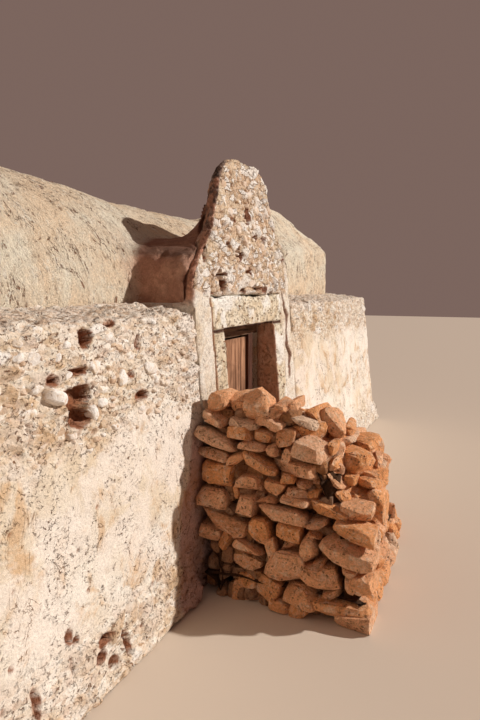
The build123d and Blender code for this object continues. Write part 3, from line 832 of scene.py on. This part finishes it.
# The crack beside the right jamb: how far across it is and how wide at each height
CRACK_HEIGHTS = (0.94, 1.07, 1.14, 1.24, 1.36, 1.465, 1.54, 1.66)
CRACK_PLACES = (0.70, 0.71, 0.745, 0.68, 0.71, 0.755, 0.695, 0.645)
CRACK_WIDTHS = (0.008, 0.016, 0.036, 0.030, 0.010, 0.032, 0.022, 0.008)
CRACK_DEPTH = 0.05
CRACK_RIM = 0.014

# Stones that show in the gable: across, up, length and height
GABLE_STONES = metres(
    (-280, 2340, 110, 60), (-200, 2410, 100, 50), (-200, 2170, 120, 70), (-70, 2070, 170, 70),
    (190, 2100, 140, 80), (150, 2320, 150, 70), (250, 2230, 140, 90), (10, 1990, 180, 70),
    (310, 1970, 150, 80), (80, 1710, 190, 50), (-290, 1690, 160, 70), (-490, 1780, 100, 50),
    (450, 1840, 140, 90), (440, 2050, 120, 70), (70, 2390, 100, 50), (330, 2360, 100, 60),
    (-90, 1810, 150, 50), (-20, 2450, 100, 40), (230, 1810, 130, 50), (570, 1770, 130, 70),
    (-500, 1870, 80, 40), (-290, 2220, 90, 50), (430, 2170, 100, 70),
)
SMALL_GABLE_STONES = 170


def jamb_crack(points):
    """How far each point is inside the crack beside the right jamb, and inside its darker rim."""
    x, _, z = points.T
    path = np.interp(z, CRACK_HEIGHTS, CRACK_PLACES) + 0.014 * rough(points, 0.05, 103)
    width = np.interp(z, CRACK_HEIGHTS, CRACK_WIDTHS) + 0.008 * rough(points, 0.035, 107)
    off, above = np.abs(x - path), ramp(z, CRACK_HEIGHTS[0], 1.0)
    crack = ramp(width - off, 0.0, 0.012) * above * ramp(1.68 - z, 0.0, 0.03)
    rim = ramp(width + CRACK_RIM - off, 0.0, CRACK_RIM) * above * ramp(1.69 - z, 0.0, 0.03)
    return crack, rim


def gable():
    """The bell gable with the piers under it, rubble with plaster left on its arrises."""
    names = ("bell_gable", "door_pier_left", "door_pier_right")
    mesh = cast("gable_rubble", names, 0.022, fine=[((-1.0, -0.2, 0.9), (1.0, 0.5, 2.7))])
    points, normals = take_points(mesh)
    x, y, z = points.T
    warped = points + 0.035 * rough(points, 0.12, 71)[:, None]
    inside, tint = pebbles(warped, np.array([0.15, 0.12, 0.085]), 73)
    shown = ramp(cell_mix(tint), 0.5, 0.6)
    plaster = 1 - ramp(z + 0.05 * rough(points, 0.3, 75), 1.60, 1.66)
    left_edge = ramp(-0.58 - x + 0.08 * rough(points, 0.2, 75), 0, 0.05)
    edges = np.maximum(left_edge, ramp(x - 0.72, 0, 0.06))
    plaster = np.maximum(plaster, np.where(x > 0, 0.85, 0.0) * edges * (1 - ramp(z, 1.85, 2.0)))
    front = ramp(-normals[:, 1], 0.0, 0.4)
    bare = (1 - plaster) * np.maximum(front, 0.4)
    stone = shown * ramp(inside, 0.10, 0.28) * bare
    joint = shown * ramp(0.12 - inside, 0.0, 0.12) * bare
    out = 0.008 * rough(points, 0.3, 77) + 0.003 * rough(points, 0.035, 89)
    out += bare * (0.013 * rough(points, 0.085, 79) + 0.008 * rough(points, 0.03, 81))
    out += 0.013 * stone - 0.008 * joint
    holes = ramp(rough(points * (0.6, 1, 1), 0.05, 83, 3), 0.44, 0.62) * bare
    hollow, dark = (field * front for field in stamped(points, GABLE_MARKS))
    crack, rim = (field * front for field in jamb_crack(points))
    hollow = np.maximum(hollow, CRACK_DEPTH * crack)
    dark = np.maximum(dark, 0.85 * rim)
    out -= 0.022 * holes + hollow + 0.004
    points = points + normals * out[:, None]
    points[:, 0] += 0.09 * ramp(z, 2.28, 2.44) * ramp(x, 0.05, 0.30)
    back = ramp(y, 0.22, 0.31) * ramp(-0.3 - x, 0.0, 0.1)
    back = back * ramp(z, 1.58, 1.64) * ramp(2.06 - z, 0.0, 0.16)
    points[:, 0] -= 0.012 * back
    points[:, 1] += 0.17 * back
    write_points(mesh, points)
    side = ramp(-normals[:, 0] + 0.3 * rough(points, 0.10, 85), 0.30, 0.55)
    blotches = ramp(rough(points, 0.09, 87), -0.25, 0.05)
    write_fields(
        mesh,
        stone=stone,
        plaster=plaster,
        hollow=np.maximum(0.95 * dark, 0.65 * holes),
        soot=0.95 * side * ramp(z, 1.98, 2.1) * blotches,
        # Painted shade on the gable's left return, in the vault's brown
        stain=ramp(-normals[:, 0], 0.4, 0.65) * ramp(z, 1.56, 1.64) * ramp(y, 0.12, 0.17),
    )
    return place("gable_rubble", mesh, "gable_rubble", names)


LINTEL_BED = 1.418


def doorway_stone():
    """The jambs, lintel and threshold of dressed limestone, worn at their edges."""
    names = ("door_jamb_left", "door_jamb_right", "door_lintel", "threshold")
    mesh = cast("doorway_stone", names, 0.011)
    points, normals = take_points(mesh)
    y, z = points[:, 1], points[:, 2]
    out = 0.005 * rough(points, 0.16, 91) + 0.003 * rough(points, 0.04, 93)
    out -= 0.008 * ramp(rough(points, 0.05, 95, 3), 0.45, 0.7)
    joint = ramp(0.014 - np.abs(z - LINTEL_BED), 0.0, 0.008) * ramp(-normals[:, 1], 0.2, 0.6)
    out -= 0.016 * joint
    out -= 0.014 * ramp(z, 1.585, 1.615) * ramp(rough(points, 0.08, 99), -0.4, 0.2)
    write_points(mesh, points + normals * out[:, None])
    reveal = ramp(np.abs(normals[:, 0]), 0.4, 0.8) * ramp(y, 0.04, 0.10)
    # Painted shade on the lintel's underside, dark like the joints
    under = ramp(-normals[:, 2], 0.4, 0.8) * ramp(z, 1.2, 1.4)
    stain = reveal * (0.8 + 0.2 * rough(points, 0.1, 97))
    write_fields(mesh, stain=stain, hollow=np.maximum(under, joint))
    return place("doorway_stone", mesh, "dressed_stone", names)


# Stones of the dry-stone mass
def ball(cuts):
    """The points and faces of an even ball of radius 1."""
    shape = bmesh.new()
    bmesh.ops.create_icosphere(shape, subdivisions=cuts, radius=1.0)
    points = np.array([vertex.co for vertex in shape.verts])
    faces = np.array([[vertex.index for vertex in face.verts] for face in shape.faces])
    shape.free()
    return points, faces


BALLS = {cuts: ball(cuts) for cuts in (2, 3)}
STONE_CREASE = math.radians(24)


class StonePile:
    """Gathers stones into one mesh."""

    def __init__(self, seed):
        self.dice = random.Random(seed)
        self.points = []
        self.faces = []
        self.tints = []
        self.gap_shades = []
        self.count = 0

    def direction(self):
        """A random direction."""
        vector = Vector([self.dice.gauss(0, 1) for _ in range(3)])
        return np.array(vector.normalized())

    def stone(self, centre, size, turn, cuts=3, square=0.42, tint=None, dark=0.0, shaded=0.0):
        """Adds a broken stone of the given length, depth and height, turned about X, Y and Z.

        Dark stones lie deep in the joints and are painted dark as shade; a shaded one gets painted shade
        behind its near face."""
        dice = self.dice
        points, faces = BALLS[cuts]
        power = square + dice.uniform(-0.1, 0.12)
        shape = np.sign(points) * np.abs(points) ** power
        for _ in range(dice.randint(9, 14)):
            facing = self.direction()
            reach = np.abs(facing).sum() * dice.uniform(0.52, 0.80)
            shape -= np.maximum(shape @ facing - reach, 0)[:, None] * facing
        shape /= np.abs(shape).max(axis=0)
        shape *= np.array(size) / 2
        offset = np.array([dice.uniform(0, 50) for _ in range(3)])
        away = points / np.linalg.norm(points, axis=1)[:, None]
        worn = 0.09 * min(size) * rough(shape + offset, 0.45 * max(size), 3, 2)
        worn += 0.06 * min(size) * rough(shape + offset, 0.14 * max(size), 5, 3)
        shape += away * worn[:, None]
        about_x, about_y, about_z = (Matrix.Rotation(turn[axis], 3, "XYZ"[axis]) for axis in range(3))
        shape = shape @ np.array(about_z @ about_y @ about_x).T + np.array(centre)
        self.points.append(shape)
        self.faces.append(faces + self.count)
        self.tints.append(np.full(len(shape), 0.86 * dice.random() if tint is None else tint))
        behind = ramp(shape[:, 0] - shape[:, 0].min(), 0.04, 0.10)
        self.gap_shades.append(np.maximum(dark, shaded * behind))
        self.count += len(shape)

    def mesh(self, name):
        """The gathered stones as one mesh."""
        mesh = bpy.data.meshes.new(name)
        points = np.concatenate(self.points)
        mesh.from_pydata(points.tolist(), [], np.concatenate(self.faces).tolist())
        write_points(mesh, points)
        write_fields(mesh, tint=np.concatenate(self.tints), depth=np.concatenate(self.gap_shades))
        mesh.shade_smooth()
        mesh.set_sharp_from_angle(angle=STONE_CREASE)
        return mesh


# Stones that stand out of the left wall: across, up, length, height and how far they stand out
WALL_STONES = metres(
    (-2015, 1270, 115, 62, 45), (-2089, 1423, 85, 65, 6), (-1965, 1419, 55, 48, 6),
    (-1735, 1344, 75, 70, 6), (-1550, 1271, 80, 85, 10), (-1305, 1289, 115, 65, 12),
    (-2095, 1312, 80, 45, 14), (-2150, 1227, 105, 48, 8), (-1760, 1154, 60, 75, 4),
    (-1700, 1185, 70, 55, 2), (-1690, 1260, 110, 80, 0), (-2026, 1192, 110, 55, 6),
    (-1620, 1471, 85, 35, 4), (-1162, 1435, 40, 55, 10), (-2060, 1520, 80, 60, 2),
    (-1270, 1230, 40, 50, 10), (-1920, 1340, 60, 30, 10), (-2300, 1330, 90, 60, 6),
    (-2420, 1210, 80, 50, 8),
)
SMALL_WALL_STONES = 150
WALL_LEAN = 0.13 / 1.55
BED_DEPTH = 0.07
FLATNESS = 0.6


def wall_y(up):
    """How far back the leaning front face stands at a height."""
    return WALL_LEAN * up


def bed_stones(pile, stones, proud):
    """Beds stones in the leaning front face, each a little proud of it."""
    dice = pile.dice
    for across, up, length, height in stones:
        middle = (across, wall_y(up) - proud + BED_DEPTH / 2, up)
        turn = (dice.gauss(0, 0.08), dice.gauss(0, 0.3), dice.gauss(0, 0.08))
        size = (0.85 * length, BED_DEPTH, 0.85 * height)
        pile.stone(middle, size, turn, square=FLATNESS, tint=dice.uniform(0.2, 1.0))


def scattered(dice, number, low, high, inside):
    """Small stones strewn over part of the front face: across, up, length and height."""
    stones = []
    while len(stones) < number:
        across, up = dice.uniform(low[0], high[0]), dice.uniform(low[1], high[1])
        if inside(across, up):
            length = dice.uniform(0.03, 0.075)
            stones.append((across, up, length, length * dice.uniform(0.4, 0.7)))
    return stones


def wall_stones():
    """White and tan stones bedded in the rubble of the left wall and the gable."""
    pile = StonePile(21)
    dice = pile.dice
    for across, up, length, height, proud in WALL_STONES:
        deep = BED_DEPTH + proud
        middle = (across, wall_y(up) - proud + deep / 2, up)
        turn = (dice.gauss(0, 0.05), dice.gauss(0, 0.25), dice.gauss(0, 0.05))
        size = (length, deep, height)
        pile.stone(middle, size, turn, square=FLATNESS, tint=dice.uniform(0.85, 1.0))
    small = scattered(dice, SMALL_WALL_STONES, (-2.7, 1.0), (-0.95, 1.5), clear_of_marks)
    bed_stones(pile, small, 0.005)
    bed_stones(pile, GABLE_STONES, 0.006)
    small = scattered(dice, SMALL_GABLE_STONES, (-0.6, 1.66), (0.7, 2.45), in_gable)
    bed_stones(pile, small, 0.006)
    return place("wall_stones", pile.mesh("wall_stones"), "wall_plaster")


def clear_of_marks(across, up):
    """Whether a point of the left wall's face is outside its hollows."""
    return all(
        abs(across - place_x) > half_width + 0.04 or abs(up - place_z) > half_height + 0.03
        for place_x, place_z, half_width, half_height, _ in WALL_MARKS
    )


def in_gable(across, up):
    """Whether a point of the front face is well inside the gable's outline."""
    return abs(across - 0.07) < 0.68 - 0.62 * (up - 1.6)


# Stones of the near face of the dry-stone mass, bottom courses first, in centimetres: how far out from
# the wall, how far up, length, height, how far back from the face, and tilt in degrees (down outward)
NEAR_STONES = (
    (27, 3, 16, 14, 5, 4), (47, 3, 11, 6, 2, 6), (59, 3, 11, 8, 0, 6), (90, 4, 23, 8, -2, 2),
    (27, 10, 11, 7, 5, 4), (41, 9, 14, 11, 0, 2), (59, 12, 21, 11, -1, 3), (75, 15, 8, 4, 0, -18),
    (80, 8, 29, 9, 0, -2), (26, 21, 16, 8, 1, 14), (48, 24, 22, 15, -1, 2), (69, 23, 20, 10, 0, -3),
    (81, 19, 5, 9, 2, 0), (90, 22, 14, 9, 0, 6), (4, 35, 11, 8, 1, 5), (14, 31, 7, 12, 1, 22),
    (21, 35, 7, 4, 3, 30), (28, 29, 16, 5, 0, 25), (41, 32, 6, 10, 0, -18), (51, 35, 9, 6, 2, 4),
    (61, 35, 8, 11, 0, -8), (68, 29, 6, 5, 2, 0), (81, 27, 7, 4, 2, 6), (12, 42, 29, 6, 0, 12),
    (34, 40, 11, 13, 0, -8), (52, 43, 16, 8, 0, 2), (63, 43, 8, 4, 1, 12), (82, 36, 29, 9, -1, 15),
    (5, 52, 18, 11, 0, 3), (26, 52, 11, 11, 0, 10), (46, 50, 26, 8, -1, 3), (65, 49, 12, 4, 0, -16),
    (84, 47, 25, 8, -1, 12), (93, 54, 19, 8, 20, 50), (16, 57, 5, 7, 2, 0), (26, 64, 15, 9, 0, 8),
    (37, 55, 11, 4, 1, -18), (39, 63, 13, 6, 0, 6), (52, 62, 12, 4, 0, 4), (53, 58, 14, 4, 0, 8),
    (62, 62, 7, 6, 3, -10), (70, 55, 20, 6, 0, 12), (75, 61, 8, 4, 8, 45), (82, 61, 10, 4, 14, 24),
    (83, 56, 16, 8, 3, 14), (86, 64, 13, 5, 20, 8), (7, 65, 23, 12, 0, 2), (31, 74, 20, 7, -1, 24),
    (46, 67, 9, 6, 1, -8), (55, 66, 9, 4, 3, 10), (62, 68, 8, 8, 6, 0), (67, 65, 9, 4, 8, 70),
    (71, 68, 11, 4, 10, 42), (76, 67, 7, 5, 16, 6), (77, 74, 15, 11, 22, 2), (85, 71, 5, 6, 36, 35),
    (86, 66, 15, 7, 30, 14), (3, 75, 18, 6, 0, 8), (5, 85, 25, 6, -2, 22), (15, 76, 12, 5, 0, -38),
    (26, 83, 15, 5, 0, 6), (38, 82, 6, 7, 0, -15), (46, 81, 7, 8, -1, 10), (51, 75, 29, 7, 1, 4),
    (59, 84, 16, 8, -2, 20), (67, 84, 5, 6, 10, 10), (69, 76, 7, 6, 10, -25),
    (70, 83, 8, 4, 30, -10), (76, 79, 15, 5, 42, 8), (19, 95, 17, 5, 0, 8), (19, 89, 15, 7, 0, 0),
    (32, 89, 12, 6, 3, 8), (46, 90, 12, 8, 0, -14), (51, 90, 5, 4, 6, 20), (56, 89, 10, 4, 14, 15),
    (63, 94, 17, 7, 22, 48), (69, 88, 6, 5, 38, 20), (3, 96, 14, 6, -1, 25), (16, 102, 11, 7, 2, 8),
    (35, 96, 15, 5, 0, 8), (38, 101, 7, 4, 6, 10), (42, 103, 6, 5, 10, -20), (50, 97, 16, 4, 5, 16),
    (56, 97, 11, 5, 16, 60), (3, 105, 11, 10, 2, 0), (14, 106, 12, 6, 7, 0),
    (26, 105, 13, 14, 0, -12), (35, 102, 5, 5, 6, 20),
)
STACK_NODES = (*(f"dry_stone_course_{number}" for number in range(1, 7)), "dry_stone_capstones")

# The bend of the outer face, how much of the reach is left there, and the end of the hidden core
BEND_X = 0.30
BEND_SHARE = 0.90
CORE_END = 0.85

# The mass at its top: the tail's end, the reach and the near face's place
TOP_TAIL = -0.06
TOP_REACH = 0.44
NEAR_TOP = -0.88

# A stone's usual depth, and the height of a course
STONE_DEPTH = 0.24
COURSE = 0.105

# How high the mass stands at places along the wall; farther out it falls sooner
SKYLINE_PLACES = (-0.95, -0.69, -0.52, -0.15, 0.13, 0.68, 1.12, 1.5)
SKYLINE_HEIGHTS = (1.10, 1.03, 0.96, 0.90, 0.84, 0.62, 0.44, 0.1)
SKYLINE_OUT = 0.35
SKYLINE_FALL = 1.5


def stack_plan(height):
    """At a height of the mass: the near face's place, its reach from the wall, and where the tail ends."""
    boxes = [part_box(name) for name in STACK_NODES]
    heights = [low.z for low, _ in boxes] + [boxes[-1][1].z]
    reach = np.interp(height, heights, [-low.y for low, _ in boxes] + [TOP_REACH])
    tail = np.interp(height, heights, [high.x for _, high in boxes] + [TOP_TAIL])
    near = np.interp(height, heights, [low.x for low, _ in boxes] + [NEAR_TOP])
    return near, reach, tail


def skyline(across, out):
    """The height of the mass's top at a place along the wall and out from it."""
    place_x = across + SKYLINE_FALL * np.maximum(out - SKYLINE_OUT, 0)
    return np.interp(place_x, SKYLINE_PLACES, SKYLINE_HEIGHTS)


def lay_run(pile, start, end, bed, top, inward, dark=0.0):
    """Lays stones of random lengths along one outer face of a course, a little out of line."""
    dice = pile.dice
    run = end - start
    length = run.length
    along = run.normalized()
    yaw = math.atan2(along.y, along.x)
    done = 0.0
    while done < length - 0.03:
        size = min(dice.uniform(0.09, 0.28), length - done)
        if length - done - size < 0.06:
            size = length - done
        depth = dice.uniform(0.8, 1.2) * STONE_DEPTH
        tall = (top - bed) * dice.uniform(0.85, 1.3)
        middle = start + along * (done + size / 2)
        middle = middle + inward * (depth / 2 + dice.uniform(-0.01, 0.05))
        turn = (dice.gauss(0, 0.16), dice.gauss(0, 0.13), yaw + dice.gauss(0, 0.18))
        up = (bed + top) / 2 + dice.uniform(-0.015, 0.015)
        if up + tall / 2 < skyline(middle.x, -middle.y) + 0.02:
            pile.stone((middle.x, middle.y, up), (size * 1.1, depth, tall), turn, dark=dark)
        done += size


def reach_at(across, height):
    """How far out the mass stands at a place along the wall, at a height."""
    near, reach, tail = stack_plan(height)
    if tail > BEND_X + 0.1:
        return np.interp(across, (near, BEND_X, tail), (reach, BEND_SHARE * reach, 0.03))
    return np.interp(across, (near, tail), (reach, 0.03))


# Lengths, depths and heights of the loose stones on top
RUBBLE_SIZES = ((0.10, 0.18), (0.10, 0.17), (0.06, 0.10))


def top_rubble(pile):
    """Lays loose stones over the falling top."""
    dice = pile.dice
    across = -0.55
    while across < 1.25:
        out = dice.uniform(0.02, 0.08)
        while out < 0.9:
            height = float(skyline(across, out))
            if height > 0.1 and out < reach_at(across, height - 0.05) - 0.02:
                place_x = across + dice.uniform(-0.04, 0.04)
                place_out = out + dice.uniform(-0.04, 0.04)
                size = [dice.uniform(*limits) for limits in RUBBLE_SIZES]
                up = height - 0.5 * size[2] - dice.uniform(0.0, 0.03)
                turn = (dice.gauss(0, 0.25), dice.gauss(0.15, 0.25), dice.uniform(-1.5, 1.5))
                pile.stone((place_x, -place_out, up), size, turn)
            out += dice.uniform(0.09, 0.13)
        across += dice.uniform(0.09, 0.12)


# Stones fallen at the outer foot of the mass: across, out, up, and size
FOOT_STONES = metres(
    (-860, 860, 50, 150), (-720, 890, 50, 130), (-600, 880, 60, 150), (-470, 880, 50, 160),
    (-340, 870, 60, 150), (-200, 880, 50, 140), (-550, 860, 150, 130), (-400, 850, 160, 140),
    (-270, 850, 140, 120), (-450, 840, 250, 120), (-60, 860, 50, 150), (100, 850, 50, 140),
    (260, 830, 50, 150), (420, 780, 50, 130),
)


def near_stones():
    """The near face, stone by stone, with small stones behind its joints."""
    pile = StonePile(11)
    dice = pile.dice
    for *lengths, tilt in NEAR_STONES:
        out, up, length, height, back = (value / 100 for value in lengths)
        depth = dice.uniform(0.85, 1.25) * max(STONE_DEPTH, 0.8 * length)
        near = stack_plan(up)[0] + back + dice.uniform(-0.012, 0.012)
        turn = (math.radians(tilt), dice.gauss(0, 0.07), dice.gauss(0, 0.09))
        size = (depth, 1.10 * length, 1.18 * height)
        in_face = back < 0.1
        inner = out + length / 2 < 0.86 * reach_at(near, up)
        # Near-face stones get painted shade behind their fronts
        shaded = 0.8 if in_face and up < 0.95 and inner else 0.0
        if in_face and up < 0.8:
            tint = dice.uniform(0.0, 0.66)
        else:
            tint = 0.4 if up > 0.98 else None
        pile.stone((near + depth / 2, -out, up), size, turn, square=0.3, tint=tint, shaded=shaded)
    for step in range(10):
        up = 0.04 + step * COURSE
        near, reach, _ = stack_plan(up)
        out = 0.02
        while out < reach - 0.20:
            size = dice.uniform(0.06, 0.13)
            inner = near + dice.uniform(0.12, 0.16)
            middle = (inner, -out - size / 2, up + dice.uniform(-0.02, 0.02))
            turn = (dice.gauss(0, 0.2), dice.gauss(0, 0.1), dice.gauss(0, 0.2))
            # The small stones behind the joints are painted dark as shade
            pile.stone(middle, (0.14, 1.1 * size, dice.uniform(0.06, 0.11)), turn, cuts=2, dark=0.6)
            out += size
    return place("near_stones", pile.mesh("near_stones"), "stacked_stone")


def outer_stones():
    """The outer faces and the tail, laid in rough courses, with rubble over the top and at the foot."""
    pile = StonePile(12)
    dice = pile.dice
    top_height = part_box("dry_stone_capstones")[1].z
    bed = 0.0
    while bed < top_height - 0.05:
        top = bed + COURSE * dice.uniform(0.85, 1.15)
        near, reach, tail = stack_plan((bed + top) / 2)
        corner = Vector((near + 0.16, -reach + 0.01, 0))
        bend = Vector((BEND_X, -BEND_SHARE * reach, 0)) if tail > BEND_X + 0.1 else None
        foot = Vector((tail, -0.03, 0))
        stops = [corner, bend, foot] if bend else [corner, foot]
        for first, second in zip(stops, stops[1:]):
            along = (second - first).normalized()
            inward = Vector((-along.y, along.x, 0))
            lay_run(pile, first, second, bed, top, inward)
            behind = first + 0.13 * inward + 0.12 * along
            # The inner run of stones is painted dark as shade
            lay_run(pile, behind, second + 0.13 * inward, bed + 0.02, top + 0.01, inward, dark=0.5)
        bed = top
    top_rubble(pile)
    for across, out, up, size in FOOT_STONES:
        turn = (dice.gauss(0, 0.3), dice.gauss(0, 0.2), dice.uniform(-0.6, 0.6))
        pile.stone((across, -out, up), (size, 0.85 * size, 0.75 * size), turn, square=0.5)
    return place("outer_stones", pile.mesh("outer_stones"), "stacked_stone")


def stack_core():
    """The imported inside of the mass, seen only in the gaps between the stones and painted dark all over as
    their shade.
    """
    mesh = cast("stack_core", STACK_NODES, 0.045)
    points, normals = take_points(mesh)
    points = points - 0.13 * normals + 0.02 * normals * rough(points, 0.12, 101)[:, None]
    points[:, 2] = np.minimum(points[:, 2], skyline(points[:, 0], -points[:, 1]) - 0.11)
    points[:, 2] = np.maximum(points[:, 2], 0.0)
    points[:, 0] = np.minimum(points[:, 0], CORE_END)
    write_points(mesh, points)
    # The core is painted dark as shade all over
    write_fields(mesh, depth=np.ones(len(points)))
    return place("stack_core", mesh, "stacked_stone", STACK_NODES)


def dress(piece, material):
    """Gives the piece one material."""
    piece.data.materials.clear()
    piece.data.materials.append(material)


def dress_node(name, material):
    """Gives a CAD node one material, in its own slots."""
    node = nodes[name]
    if not node.material_slots:
        node.data.materials.append(material)
    for slot in node.material_slots:
        slot.material = material


make_camera()
make_light()
make_floor()

finishes = {
    "wall_plaster": wall_finish(),
    "vault_plaster": vault_finish(),
    "gable_rubble": rubble_finish(),
    "dressed_stone": dressed_finish(),
    "stacked_stone": field_stone_finish(),
    "rubble_stone": rubble_stone_finish(),
    "door_timber": timber_finish("door_timber", (0.20, 0.09, 0.045), (0.54, 0.29, 0.17), 2),
    "frame_timber": timber_finish("frame_timber", (0.05, 0.018, 0.01), (0.12, 0.045, 0.025), 2),
    "lintel_timber": timber_finish("lintel_timber", (0.10, 0.05, 0.03), (0.24, 0.14, 0.08), 0),
    "earth": earth_finish(),
}

pieces = {
    left_front: "wall_plaster",
    right_front: "wall_plaster",
    rear_walls: "wall_plaster",
    vaults: "vault_plaster",
    gable: "gable_rubble",
    doorway_stone: "dressed_stone",
    wall_stones: "rubble_stone",
    near_stones: "stacked_stone",
    outer_stones: "stacked_stone",
    stack_core: "stacked_stone",
}
for make, finish in pieces.items():
    dress(make(), finishes[finish])

shown_nodes = {
    "door_timber": ("door_boards", "door_ledges", "door_hanging_stile", "door_closing_stile"),
    "frame_timber": ("door_frame_left", "door_frame_right"),
    "lintel_timber": ("door_frame_head", "inner_lintel"),
    "earth": ("earth_floor",),
    "wall_plaster": ("door_cheeks",),
}
for finish, node_names in shown_nodes.items():
    for name in node_names:
        dress_node(name, finishes[finish])
